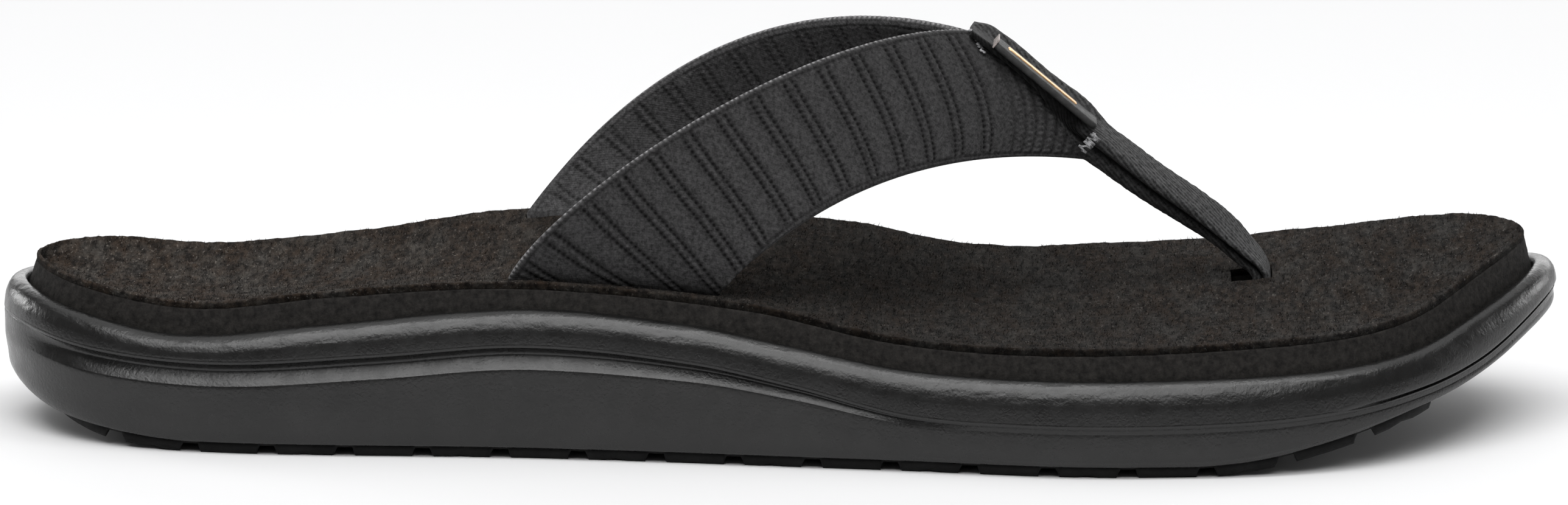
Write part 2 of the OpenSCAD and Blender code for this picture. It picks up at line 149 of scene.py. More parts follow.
CAD_EDGE = spline(PLAN, np.arange(0, len(PLAN), 1 / 6))[0]
CENTRE = (CAD_EDGE.max(0) + CAD_EDGE.min(0)) / 2


def world(points):
    """Pattern points in millimetres to the row frame in metres."""
    p = np.array(points, float).reshape(-1, 3)
    return (p - (CENTRE[0], CENTRE[1], 0)) * MM


# ---------------------------------------------------------------- mesh helpers

def new_mesh(name, points, faces, uv=None):
    """A mesh object from pattern points, smooth shaded, with an optional map in millimetres."""
    mesh = bpy.data.meshes.new(name)
    mesh.from_pydata(world(points).tolist(), [], [tuple(map(int, f)) for f in faces])
    mesh.validate()
    mesh.shade_smooth()
    if uv is not None:
        layer = mesh.uv_layers.new(name="UVMap")
        index = np.empty(len(mesh.loops), np.int32)
        mesh.loops.foreach_get("vertex_index", index)
        layer.data.foreach_set("uv", np.asarray(uv, np.float32)[index].ravel())
    piece = bpy.data.objects.new(name, mesh)
    bpy.context.collection.objects.link(piece)
    return piece


def paint(piece, shade):
    """Stores the painted light and shade of each point of the weave, for its material."""
    layer = piece.data.attributes.new("shade", "FLOAT", "POINT")
    layer.data.foreach_set("value", np.asarray(shade, np.float32))


def finish_piece(piece, material, slot, *nodes):
    """Gives a piece its material, rides it on the object and hides the nodes it stands for; its slot is not
    used.
    """
    piece.data.materials.clear()
    piece.data.materials.append(material)
    if nodes:
        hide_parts(*nodes)
    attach(piece, "root")
    return piece


def apply_modifiers(piece):
    """Turns the piece's modified shape into its mesh."""
    graph = bpy.context.evaluated_depsgraph_get()
    mesh = bpy.data.meshes.new_from_object(piece.evaluated_get(graph))
    piece.modifiers.clear()
    piece.data = mesh


def grid_faces(rows, columns, wrap=False, start=0, flip=False):
    """Quads between rows of points; wrap joins the last column to the first."""
    i, j = np.meshgrid(np.arange(rows - 1), np.arange(columns if wrap else columns - 1), indexing="ij")
    k = (j + 1) % columns
    quads = np.stack([i * columns + j, i * columns + k, (i + 1) * columns + k, (i + 1) * columns + j], -1)
    quads = quads.reshape(-1, 4) + start
    return quads[:, ::-1] if flip else quads


def pairs(u, v):
    """Every u with every v, as two flat arrays."""
    return [a.ravel() for a in np.meshgrid(u, v, indexing="ij")]


def sheet_faces(rows, columns, flip, start=0):
    """Faces of a thin closed sheet: a grid of points for each side of it, joined round the rim."""
    shift = rows * columns
    faces = grid_faces(rows, columns, start=start, flip=not flip).tolist()
    faces += grid_faces(rows, columns, start=start + shift, flip=flip).tolist()
    rim = [i * columns for i in range(rows)]
    rim += [(rows - 1) * columns + j for j in range(1, columns)]
    rim += [i * columns + columns - 1 for i in range(rows - 2, -1, -1)]
    rim += list(range(columns - 2, 0, -1))
    for a, b in zip(rim, rim[1:] + rim[:1]):
        quad = (start + a, start + b, start + b + shift, start + a + shift)
        faces.append(quad if flip else quad[::-1])
    return faces


def tube_faces(rows, sides, flip=False):
    """Faces of a tube of closed rows of points, with a flat face at each end."""
    first = list(range(sides))
    last = [(rows - 1) * sides + k for k in first]
    ends = [first, last[::-1]] if flip else [first[::-1], last]
    return grid_faces(rows, sides, wrap=True, flip=flip).tolist() + ends


def vertex_noise(points, scale, seed, octaves=3):
    """Fractal noise, about -1 to 1, at pattern points; scale is the size of its features."""
    shift = Vector((seed * 17.3, seed * 5.1, seed * 9.7))
    return np.array([noise.fractal(Vector(p) / scale + shift, 1.0, 2.0, octaves) for p in points])


# ---------------------------------------------------------------- ring solids

class Sole:
    """The plan outline sampled closely, from which every layer of the sole is built."""

    def __init__(self, span_steps, cross_steps):
        t = np.arange(0, len(PLAN), 1 / span_steps)
        self.edge, slope = spline(PLAN, t)
        self.inward = np.stack([-slope[:, 1], slope[:, 0]], 1) / np.linalg.norm(slope, axis=1)[:, None]
        self.count = len(t)
        self.cross = cross_steps

    def ring(self, inset, z):
        """One ring: inset and z are numbers, or functions of x along the outline."""
        x = self.edge[:, 0]
        d = inset(x) if callable(inset) else np.full(self.count, float(inset))
        p = self.edge + self.inward * d[:, None]
        return np.column_stack([p, z(p[:, 0], p[:, 1])])

    def cap(self, ring, z, depth):
        """Inner points of a surface that closes a ring."""
        half = self.count // 2
        u = np.linspace(0, 1, self.cross + 1)[1:-1]
        a, b = ring[1:half], ring[:half:-1][:half - 1]
        q = a[:, None, :2] + (b - a)[:, None, :2] * u[None, :, None]
        q = q.reshape(-1, 2)
        lift = np.tile(4 * u * (1 - u), half - 1)
        return np.column_stack([q, z(q[:, 0], q[:, 1]) - lift * depth(q[:, 0])])

    def cap_faces(self, ring_start, cap_start, up):
        """Faces between a ring and the inner points that close it."""
        half = self.count // 2
        columns = self.cross - 1
        rows = np.empty((half + 1, self.cross + 1), int)
        rows[0] = ring_start
        rows[half] = ring_start + half
        k = np.arange(1, half)
        rows[1:half, 0] = ring_start + k
        rows[1:half, -1] = ring_start + self.count - k
        rows[1:half, 1:-1] = cap_start + (k - 1)[:, None] * columns + np.arange(columns)
        faces = []
        for i in range(half):
            for j in range(self.cross):
                f = [rows[i, j], rows[i + 1, j], rows[i + 1, j + 1], rows[i, j + 1]]
                f = [v for n, v in enumerate(f) if v not in f[:n]]
                faces.append(f if up else f[::-1])
        return faces

    def solid(self, name, rings, bottom, top):
        """A closed solid from rings; bottom and top are (height, depth) of its end surfaces."""
        stack = np.concatenate(rings)
        low = self.cap(rings[0], *bottom)
        high = self.cap(rings[-1], *top)
        faces = grid_faces(len(rings), self.count, wrap=True).tolist()
        faces += self.cap_faces(0, len(stack), False)
        faces += self.cap_faces(len(stack) - self.count, len(stack) + len(low), True)
        return name, np.concatenate([stack, low, high]), faces


def flat(x):
    """The hollow of an end surface that has none."""
    return 0 * x


def smooth_rows(rows, steps):
    """Rows through the given rows, with steps[i] rows between row i and the next."""
    out = []
    last = len(rows) - 1
    for i in range(last):
        a, b, c, d = rows[max(i - 1, 0)], rows[i], rows[i + 1], rows[min(i + 2, last)]
        for f in np.arange(steps[i]) / steps[i]:
            out.append((2 * b + (c - a) * f + (2 * a - 5 * b + 4 * c - d) * f ** 2
                        + (3 * b - a - 3 * c + d) * f ** 3) / 2)
    out.append(rows[last])
    return out


# ---------------------------------------------------------------- materials

def grey(value):
    return value, value, value


class Shader:
    """A node material built from its Principled shader outwards, on object coordinates in millimetres."""

    def __init__(self, name, roughness, **fixed):
        self.mat = bpy.data.materials.new(name)
        self.mat.use_nodes = True
        self.tree = self.mat.node_tree
        self.bsdf = self.tree.nodes["Principled BSDF"]
        self.put(self.bsdf, "Roughness", roughness)
        for key, value in fixed.items():
            self.put(self.bsdf, key.replace("_", " "), value)
        self.where = self.scaled(self.add("TexCoord").outputs["Object"], 1 / MM)

    def put(self, node, key, value):
        socket = node.inputs[key]
        if isinstance(value, bpy.types.NodeSocket):
            self.tree.links.new(value, socket)
        else:
            socket.default_value = value

    def add(self, kind, inputs=(), **settings):
        node = self.tree.nodes.new("ShaderNode" + kind)
        for key, value in settings.items():
            setattr(node, key, value)
        for key, value in dict(inputs).items():
            self.put(node, key, value)
        return node

    def scaled(self, vector, scale):
        return self.add("VectorMath", {0: vector, "Scale": scale}, operation="SCALE").outputs[0]

    def stretched(self, scale):
        """Coordinates scaled differently in x, y and z."""
        return self.add("Mapping", {"Vector": self.where, "Scale": scale}).outputs["Vector"]

    def noise(self, scale, detail=3.0, roughness=0.55, where=None):
        place = self.where if where is None else where
        inputs = {"Vector": place, "Scale": scale, "Detail": detail, "Roughness": roughness}
        return self.add("TexNoise", inputs).outputs["Fac"]

    def ramp(self, value, low, high, color_a, color_b):
        node = self.add("ValToRGB", {"Fac": value})
        node.color_ramp.elements[0].position = low
        node.color_ramp.elements[1].position = high
        node.color_ramp.elements[0].color = (*color_a, 1)
        node.color_ramp.elements[1].color = (*color_b, 1)
        return node.outputs["Color"]

    def tint(self, value, low, high, color_a, color_b):
        """Base colour that goes from one colour to another as a value goes from low to high."""
        self.put(self.bsdf, "Base Color", self.ramp(value, low, high, color_a, color_b))

    def roughen(self, value, low, high):
        """Roughness between low and high, from noise, which lies near a half."""
        inputs = {"Value": value, "From Min": 0.3, "From Max": 0.7, "To Min": low, "To Max": high}
        self.put(self.bsdf, "Roughness", self.add("MapRange", inputs).outputs["Result"])

    def blend(self, how, a, b):
        """Two colours multiplied or added."""
        inputs = {"Factor": 1.0, 6: a, 7: b}
        return self.add("Mix", inputs, data_type="RGBA", blend_type=how).outputs[2]

    def math(self, operation, a, b=0.0, clamp=False):
        node = self.add("Math", {0: a, 1: b}, operation=operation)
        node.use_clamp = clamp
        return node.outputs[0]

    def wave(self, value, pitch):
        return self.math("SINE", self.math("MULTIPLY", value, 2 * math.pi / pitch))

    def relief(self, height_value, strength, distance, below=None):
        """Bump, on top of another one where below is given."""
        inputs = {"Height": height_value, "Strength": strength, "Distance": distance}
        if below is not None:
            inputs["Normal"] = below
        normal = self.add("Bump", inputs).outputs["Normal"]
        self.put(self.bsdf, "Normal", normal)
        return normal


def carrier_foam():
    """Moulded foam skin: satin, with a fine grain and shallow leathery creases."""
    s = Shader("carrier_foam", 0.42, Specular_IOR_Level=0.50)
    s.tint(s.noise(0.08, 4.0), 0.35, 0.7, (0.0050, 0.0049, 0.0048), (0.0090, 0.0088, 0.0086))
    s.roughen(s.noise(0.35, 4.0), 0.22, 0.34)
    warp = s.add("VectorMath", {0: s.where, 1: s.noise(0.5, 2.0)}, operation="ADD").outputs[0]
    cells = s.add("TexVoronoi", {"Vector": warp, "Scale": 0.9}, feature="DISTANCE_TO_EDGE")
    creases = s.math("MULTIPLY", cells.outputs["Distance"], 2.0, clamp=True)
    soft = s.relief(creases, 0.07, 0.0003)
    s.relief(s.noise(2.6, 4.0, 0.6), 0.24, 0.00020, soft)
    return s.mat


def outsole_rubber():
    """Matt moulded rubber."""
    s = Shader("outsole_rubber", 0.6, Specular_IOR_Level=0.12)
    s.tint(s.noise(0.2), 0.3, 0.7, grey(0.004), grey(0.008))
    s.roughen(s.noise(1.2), 0.5, 0.7)
    s.relief(s.noise(4.0, 3.0), 0.25, 0.0001)
    return s.mat


def footbed_side():
    """Cut foam wall under the cover: matt, nearly black, with fine cells and a warm cast."""
    s = Shader("footbed_side", 0.85, Specular_IOR_Level=0.12)
    cells = s.noise(0.9, 5.0, 0.7)
    s.tint(cells, 0.32, 0.70, (0.0060, 0.0057, 0.0054), (0.0270, 0.0250, 0.0230))
    s.roughen(s.noise(2.0), 0.75, 0.95)
    s.relief(s.noise(2.4, 5.0, 0.75), 0.5, 0.0003)
    return s.mat


def brushed_cover():
    """Nap brushed across the foot: charcoal clumps with brown patches, dark pits and pale fibre ends, with
    painted light and shade over them.
    """
    s = Shader("brushed_cover", 0.95, Sheen_Weight=0.03, Sheen_Roughness=0.45, Specular_IOR_Level=0.04)
    combed = s.stretched((1.0, 0.32, 1.0))
    patches, clumps = s.noise(0.20, 4.0, 0.65, combed), s.noise(0.85, 6.0, 0.72, combed)
    patch = s.ramp(patches, 0.40, 0.62, (0.0170, 0.0125, 0.0095), (0.0250, 0.0240, 0.0230))
    clump = s.ramp(clumps, 0.40, 0.62, (0.30, 0.28, 0.26), (1.90, 1.84, 1.76))
    fleck = s.ramp(s.noise(2.4, 3.0, 0.6, combed), 0.60, 0.72, grey(0.0), (0.085, 0.080, 0.075))
    napped = s.blend("ADD", s.blend("MULTIPLY", patch, clump), fleck)

    # Painted light and shade: paler towards the heel as painted light, and darkest under the straps as their
    # painted shadow
    x = s.add("SeparateXYZ", {"Vector": s.where}).outputs["X"]
    along = s.add("MapRange", {"Value": x, "From Min": -130.0, "From Max": 130.0}).outputs["Result"]
    painted_light_along = s.ramp(along, 0.0, 1.0, (1.55, 1.5, 1.45), grey(0.85))
    stops = painted_light_along.node.color_ramp.elements
    stops.new(0.34).color = (1.05, 1.0, 0.95, 1)
    stops.new(0.55).color = (0.55, 0.53, 0.50, 1)
    stops.new(0.80).color = (*grey(0.85), 1)
    # Painted shade: faces that do not face up are painted darker
    facing = s.add("SeparateXYZ", {"Vector": s.add("TexCoord").outputs["Normal"]}).outputs["Z"]
    painted_side_shade = s.ramp(facing, 0.25, 0.75, (0.55, 0.58, 0.60), grey(1.0))
    with_painted_light = s.blend("MULTIPLY", s.blend("MULTIPLY", napped, painted_light_along), painted_side_shade)
    s.put(s.bsdf, "Base Color", with_painted_light)
    pile = s.relief(s.noise(0.9, 6.0, 0.75, combed), 0.8, 0.0006)
    s.relief(s.noise(3.0, 4.0, 0.8), 0.8, 0.0003, pile)
    return s.mat


def cloth(name):
    """Shader of a woven piece, the two directions of its map in millimetres, its fuzz and its shade."""
    s = Shader(name, 0.88, Sheen_Weight=0.05, Sheen_Roughness=0.4, Specular_IOR_Level=0.10)
    parts = s.add("SeparateXYZ", {"Vector": s.add("UVMap", uv_map="UVMap").outputs["UV"]})
    shade = s.add("Attribute", attribute_name="shade").outputs["Fac"]
    return s, parts.outputs["X"], parts.outputs["Y"], s.noise(1.6, 6.0, 0.75), shade


THREAD_PITCH, PICK_PITCH = 0.52, 0.60
WEBBING_TONE = (0.0315, 0.031, 0.0315)


def webbing_weave():
    """Woven polyester of the straps, with painted shade in its grooves and a painted highlight along its
    edges, from its shade attribute.
    """
    s, along, across, fuzz, shade = cloth("webbing")
    dark, light = (tuple(share * c for c in WEBBING_TONE) for share in (0.45, 1.6))
    s.put(s.bsdf, "Base Color", s.scaled(s.ramp(fuzz, 0.36, 0.66, dark, light), shade))
    s.roughen(s.noise(1.0), 0.8, 0.96)
    weave = s.math("MULTIPLY", s.wave(along, THREAD_PITCH), s.wave(across, PICK_PITCH))
    threads = s.relief(weave, 0.22, 0.00012)
    s.relief(fuzz, 0.6, 0.0003, threads)
    return s.mat


TWILL_PITCH = 0.72
TWILL_ALONG, TWILL_AROUND = -0.35, -0.93


def twill_tape():
    """Steep twill lines on the folded tape, whose map runs along and around it."""
    s, along, around, fuzz, shade = cloth("twill_tape")
    slant = s.math("ADD", s.math("MULTIPLY", along, TWILL_ALONG), s.math("MULTIPLY", around, TWILL_AROUND))
    lines = s.wave(slant, TWILL_PITCH)
    mixed = s.add("Math", {0: lines, 1: 0.06, 2: fuzz}, operation="MULTIPLY_ADD").outputs[0]
    tone = s.ramp(mixed, 0.34, 0.68, grey(0.012), (0.090, 0.090, 0.091))
    # Base colour darkened and lightened by the painted shade
    s.put(s.bsdf, "Base Color", s.scaled(tone, shade))
    threads = s.relief(lines, 0.4, 0.0002)
    s.relief(fuzz, 0.6, 0.0003, threads)
    return s.mat


def lining_knit():
    """Soft dark knit."""
    s = Shader("lining_knit", 0.95, Sheen_Weight=0.04, Specular_IOR_Level=0.06)
    s.tint(s.noise(1.5, 4.0), 0.3, 0.7, grey(0.006), grey(0.014))
    s.relief(s.noise(2.5, 5.0, 0.7), 0.6, 0.0003)
    return s.mat


def label_rubber():
    """Satin rubber with a coarse grain."""
    s = Shader("label_rubber", 0.55, Specular_IOR_Level=0.35)
    s.tint(s.noise(0.8, 5.0), 0.32, 0.7, grey(0.010), grey(0.030))
    s.roughen(s.noise(1.5), 0.45, 0.68)
    s.relief(s.noise(2.2, 5.0, 0.7), 0.45, 0.00025)
    return s.mat


def copper_bar():
    """Brushed copper-toned metal."""
    s = Shader("copper_bar", 0.32, Metallic=1.0)
    grain = s.noise(2.0, 3.0, where=s.stretched((0.4, 6.0, 0.4)))
    s.tint(grain, 0.3, 0.7, (0.72, 0.40, 0.18), (0.95, 0.66, 0.38))
    s.roughen(grain, 0.25, 0.42)
    s.relief(grain, 0.15, 0.00005)
    return s.mat


def bonded_thread(name, low, high):
    """Thread, or a frayed cut edge, between two colours."""
    s = Shader(name, 0.55, Sheen_Weight=0.1, Specular_IOR_Level=0.4)
    s.tint(s.noise(1.4, 4.0, 0.7), 0.38, 0.62, low, high)
    s.relief(s.noise(6.0, 2.0), 0.4, 0.0001)
    return s.mat


def moulded_nylon():
    """Pale plastic of the hidden anchors."""
    s = Shader("moulded_nylon", 0.5)
    s.tint(s.noise(0.3), 0.3, 0.7, grey(0.20), grey(0.28))
    s.relief(s.noise(2.0), 0.1, 0.0001)
    return s.mat


# ---------------------------------------------------------------- sole

def end_wrap(x):
    """0 along the sole and 1 at its ends, where the carrier's wall wraps down over the rubber."""
    return ease((x - 228) / 26) + 0.9 * ease((22 - x) / 20)


def build_midsole():
    """Carrier: wall, side groove, parting line, rounded rim and recess, as rings from the bottom up."""
    sole = Sole(span_steps=48, cross_steps=40)

    def carrier(x, y=0):
        return ground_z(x) + OUTSOLE - 0.8 - 1.1 * end_wrap(x)

    def parting(x, y=0):
        return height(PARTING, x)

    def rim(x, y=0):
        return height(RIM, x)

    def groove(x):
        return 4.4 - 3 * ease((x - 90) / 80)

    def dent(x):
        return SIDE_GROOVE * (1 - 0.75 * ease((x - 110) / 60)) * ease((x - 1) / 16)

    def toe(x):
        return ease((x - 222) / 16)

    def ridge_inset(x):
        return 0.5 * ease(x / 40)

    def ridge(x, y=0):
        return parting(x) - groove(x)

    def wall(share):
        return lambda x, y: mix(carrier(x), ridge(x), share)

    def below_parting(share):
        return lambda x, y: parting(x) - share * groove(x)

    def flank(share):
        return lambda x: mix(ridge_inset(x), dent(x), share)

    # Each ring: inset, height, and the number of rows up to the next one
    design = [
        (lambda x: OUTSOLE_INSET + 1.2 * end_wrap(x), carrier, 3),
        (lambda x: OUTSOLE_INSET - 0.6 + 1.0 * end_wrap(x), lambda x, y: carrier(x) + 0.15, 3),
        (lambda x: 0.85 + 0.5 * end_wrap(x), lambda x, y: carrier(x) + 0.7, 4),
        (lambda x: 0.5 + 0.2 * end_wrap(x), wall(0.25), 6),
        (0.4, wall(0.55), 6),
        (lambda x: ridge_inset(x) * 0.75 + 0.06, wall(0.88), 4),
        (ridge_inset, ridge, 4),
        (flank(0.14), below_parting(0.90), 4),
        (flank(0.50), below_parting(0.72), 4),
        (flank(0.88), below_parting(0.52), 4),
        (dent, below_parting(0.36), 5),
        (lambda x: 0.62 * dent(x), below_parting(0.17), 4),
        (lambda x: 0.1 + 0.25 * toe(x), lambda x, y: parting(x) - 0.4, 3),
        (lambda x: 0.5 * toe(x), lambda x, y: parting(x) - 0.22, 3),
        (lambda x: -0.04 + 1.0 * toe(x), parting, 3),
        (lambda x: 0.25 * toe(x), lambda x, y: parting(x) + 0.24, 3),
        (0.03, lambda x, y: parting(x) + 0.6, 3),
    ]
    for a in np.radians([22, 34, 46, 58, 70, 80, 90]):
        design.append((RIM_WIDTH * (1 - math.cos(a)),
                       lambda x, y, s=math.sin(a): mix(parting(x), rim(x), s), 4))
    design += [(RIM_WIDTH + 0.35, lambda x, y: rim(x) - 0.15, 3),
               (RIM_WIDTH + 0.62, lambda x, y: rim(x) - 0.6, 3),
               (RECESS_INSET, lambda x, y: rim(x) - 1.6, 2)]
    rows = smooth_rows([sole.ring(d, z) for d, z, _ in design], [n for _, _, n in design])
    rows.append(sole.ring(RECESS_INSET, lambda x, y: top_z(x, y) - FOOTBED))
    rings = np.array(rows)
    count = len(rows)

    # Leathery creases of the moulded skin, deepest on the rounded rim, and a slight overall unevenness
    skin = rings.reshape(-1, 3)
    share = np.repeat(np.arange(count) / count, sole.count)
    below_lip = ease((0.97 - share) / 0.04)
    on_rim = ease((share - 0.60) / 0.1) * below_lip
    crease = 0.5 - np.abs(vertex_noise(skin * (0.8, 0.8, 1.3), 1.9, 1))
    swell = vertex_noise(skin, 14, 2, 2)
    outward = np.tile(np.column_stack([-sole.inward, np.zeros(sole.count)]), (count, 1))
    outward[:, 2] = on_rim
    outward /= np.linalg.norm(outward, axis=1)[:, None]
    amount = 0.10 * crease * on_rim + 0.08 * swell * below_lip * ease(share / 0.05)
    rings = (skin + outward * amount[:, None]).reshape(rings.shape)
    name, points, faces = sole.solid("midsole_body", list(rings), (carrier, flat),
                                     (lambda x, y: top_z(x, y) - FOOTBED, cup))
    return finish_piece(new_mesh(name, points, faces), carrier_foam(), "carrier_foam", "midsole")


def build_outsole():
    """Rubber sheet with transverse lugs; its stations fall on the groove edges."""
    sole = Sole(span_steps=60, cross_steps=0)
    half = sole.count // 2
    along = sole.edge[:, :1]
    inset = OUTSOLE_INSET + 7 * ease((along - 236) / 24) + 4 * ease((20 - along) / 20)
    outline = sole.edge + sole.inward * inset
    first, last = outline[:, 0].min() + 0.02, outline[:, 0].max() - 0.02
    lug_rows = int((LENGTH - 30) // LUG_PITCH)
    grooves = FIRST_GROOVE + LUG_PITCH * np.arange(lug_rows + 1)
    groove_half = LUG_GROOVE / 2

    marks = [first, last]
    for g in grooves:
        for wall in (g - groove_half, g + groove_half):
            marks += [wall - 0.35, wall, wall + 0.35]
    turn = 16 * (1 - np.cos(np.linspace(0, math.pi / 2, 24)))
    marks += [*(first + turn), *(last - turn), *np.arange(first + 14, last - 14, 2.0)]
    x = np.unique(np.round([m for m in marks if first <= m <= last], 3))
    x = x[np.concatenate([[True], np.diff(x) > 0.12])]

    def side(run):
        """y of one side of the outline at the stations."""
        keep = np.concatenate([[True], np.diff(np.maximum.accumulate(run[:, 0])) > 1e-6])
        return np.interp(x, run[keep, 0], run[keep, 1])

    cross = 64
    u = np.linspace(-1, 1, cross + 1)
    u = np.sign(u) * (1 - (1 - np.abs(u)) ** 1.25)
    low, high = side(outline[:half + 1]), side(np.concatenate([outline[half:], outline[:1]])[::-1])
    centre, half_width = (low + high)[:, None] / 2, (high - low)[:, None] / 2
    y = centre + half_width * u
    x = np.broadcast_to(x[:, None], y.shape)
    base = ground_z(x)
    from_edge = np.clip(half_width * (1 - np.abs(u)) / 0.5, 0, 1)
    round_edge = 0.5 * (1 - np.sqrt(np.clip(1 - (1 - from_edge) ** 2, 0, 1)))
    groove = ease((groove_half + 0.2 - np.abs(x[..., None] - grooves)) / 0.4).max(-1)
    spine = ease((3.2 - np.abs(y - centre)) / 0.5) * ease((x - 30) / 3) * ease((LENGTH - 34 - x) / 3)
    sipe = 0.35 * ease((0.5 - np.abs((x - FIRST_GROOVE) % LUG_PITCH - LUG_PITCH / 2)) / 0.3)
    cut = np.maximum(np.maximum(groove * LUG_DEPTH, spine * 0.9), sipe)
    under, over = np.stack([x, y, base + cut + round_edge], -1), np.stack([x, y, base + OUTSOLE], -1)
    points = np.concatenate([under.reshape(-1, 3), over.reshape(-1, 3)])
    piece = new_mesh("outsole_tread", points, sheet_faces(len(x), cross + 1, flip=True))
    return finish_piece(piece, outsole_rubber(), "outsole_rubber", "outsole")


def slot_frames():
    """Centre, turn, length and width of each slot through the footbed."""
    frames = []
    for lower, upper, _ in (LATERAL, MEDIAL):
        run = (upper[0] - lower[0])[:2]
        frames.append(((lower[0] + upper[0])[:2] / 2, math.atan2(run[1], run[0]),
                       np.linalg.norm(run) + 2 * SLOT_GAP, WEBBING + 2 * SLOT_GAP))
    frames.append((POST, 0.0, *POST_SLOT))
    return frames


def cut_slots(piece):
    """Cuts the strap and toe post slots through a layer of the footbed."""
    for centre, turn, x_size, y_size in slot_frames():
        c, s = math.cos(turn), math.sin(turn)
        corners = []
        for z in (2.0, 60.0):  # from under the footbed to well above it
            for dx, dy in ((-1, -1), (1, -1), (1, 1), (-1, 1)):
                dx, dy = dx * x_size / 2, dy * y_size / 2
                corners.append((centre[0] + c * dx - s * dy, centre[1] + s * dx + c * dy, z))
        faces = [(3, 2, 1, 0), (4, 5, 6, 7), (0, 1, 5, 4), (1, 2, 6, 5), (2, 3, 7, 6), (3, 0, 4, 7)]
        cutter = new_mesh("slot_cutter", corners, faces)
        modifier = piece.modifiers.new("slot", "BOOLEAN")
        modifier.object = cutter
        modifier.solver = "EXACT"
        apply_modifiers(piece)
        bpy.data.objects.remove(cutter)


NAP_DENSITY = 1.3


def build_nap(points, faces, material):
    """Tufts of brushed fibre on the cover: thin leaning spikes rooted just under its surface."""
    quads = np.array([f if len(f) == 4 else (*f, f[-1]) for f in faces])
    a, b, c, d = (points[quads[:, k]] for k in range(4))
    halves = np.cross(b - a, c - a), np.cross(c - a, d - a)
    area = sum(np.linalg.norm(h, axis=1) for h in halves) / 2
    count = int(area.sum() * NAP_DENSITY)
    pick = rng.choice(len(quads), count, p=area / area.sum())
    f, g = rng.random((2, count, 1))
    root = mix(mix(a[pick], b[pick], f), mix(d[pick], c[pick], f), g)
    clear = np.ones(count, bool)
    for centre, turn, x_size, y_size in slot_frames():
        away = root[:, :2] - centre
        x = away[:, 0] * math.cos(turn) + away[:, 1] * math.sin(turn)
        y = away[:, 1] * math.cos(turn) - away[:, 0] * math.sin(turn)
        clear &= (np.abs(x) > x_size / 2 + 0.3) | (np.abs(y) > y_size / 2 + 0.3)
    root = root[clear]
    count = len(root)
    brushed = vertex_noise(root * (1, 1, 0), 16, 11, 2) * math.pi
    lean = np.column_stack([np.cos(brushed), np.sin(brushed)]) * 0.35 + rng.normal(0, 0.55, (count, 2))
    length = rng.uniform(0.28, 0.52, count) * np.where(rng.random(count) < 0.06, 1.6, 1)
    tip = root + np.column_stack([lean * length[:, None], length])
    radius = rng.uniform(0.08, 0.13, count)
    spin = rng.uniform(0, 2 * np.pi, count)
    corners = []
    for k in range(3):
        angle = spin + k * 2 * np.pi / 3
        corners.append(root + np.column_stack([radius * np.cos(angle), radius * np.sin(angle),
                                               np.full(count, -0.25)]))
    tufts = np.stack([*corners, tip], 1).reshape(-1, 3)
    base = (np.arange(count) * 4)[:, None]
    sides = np.concatenate([base + np.array(t) for t in ((0, 1, 3), (1, 2, 3), (2, 0, 3), (2, 1, 0))])
    piece = new_mesh("footbed_nap", tufts, sides)
    finish_piece(piece, material, "cover_suede")


def build_footbed():
    """Foam slab with its cover and nap, all with the slots cut through them."""
    sole = Sole(span_steps=48, cross_steps=112)

    def bottom(x, y):
        return top_z(x, y) - FOOTBED

    def foam_top(x, y):
        return top_z(x, y) - COVER

    def side(share):
        """Inset of the slanting side wall: 0 at the rim, 1 at the top."""
        return RECESS_INSET + 0.05 + SIDE_SLANT * share

    walls = [sole.ring(RECESS_INSET, bottom),
             sole.ring(RECESS_INSET, lambda x, y: height(RIM, x) - 1.6)]
    upper = [sole.ring(side(f), lambda x, y, f=f: mix(height(RIM, x) - 1.0, foam_top(x, y), f))
             for f in np.linspace(0, 1, 14)]
    name, points, faces = sole.solid("footbed_slab", walls + upper, (bottom, cup), (foam_top, cup))
    wall_rows = sole.count * (len(walls) + len(upper))
    rough = vertex_noise(points[:wall_rows], 1.3, 12, 3)
    points[sole.count * 2:wall_rows, :2] += (0.10 * rough[sole.count * 2:, None]
                                             * np.tile(sole.inward, (len(upper), 1)))
    slab = new_mesh(name, points, faces)
    cut_slots(slab)
    finish_piece(slab, footbed_side(), "footbed_foam", "footbed_foam")

    rings = [sole.ring(side(1.0), foam_top),
             sole.ring(side(1.0), lambda x, y: foam_top(x, y) + 0.35),
             sole.ring(side(1.0), lambda x, y: top_z(x, y) - 0.45),
             sole.ring(side(1.06), lambda x, y: top_z(x, y) - 0.2),
             sole.ring(side(1.2), lambda x, y: top_z(x, y) - 0.04),
             sole.ring(side(1.45), top_z)]
    name, points, faces = sole.solid("footbed_top", rings, (foam_top, cup), (top_z, cup))
    is_top = np.arange(len(points)) >= sole.count * 3
    nap = vertex_noise(points, 1.1, 3, 3)
    soft = vertex_noise(points, 9, 4, 2)
    points[:, 2] += np.where(is_top, 0.16 * nap + 0.14 * soft, 0)
    suede = brushed_cover()
    low_cap = len(points) - (sole.count // 2 - 1) * (sole.cross - 1)
    build_nap(points, [f for f in faces if min(f) >= sole.count * 5 and max(f) >= low_cap], suede)
    cover = new_mesh(name, points, faces)
    cut_slots(cover)
    finish_piece(cover, suede, "cover_suede", "footbed_cover")


# ---------------------------------------------------------------- straps

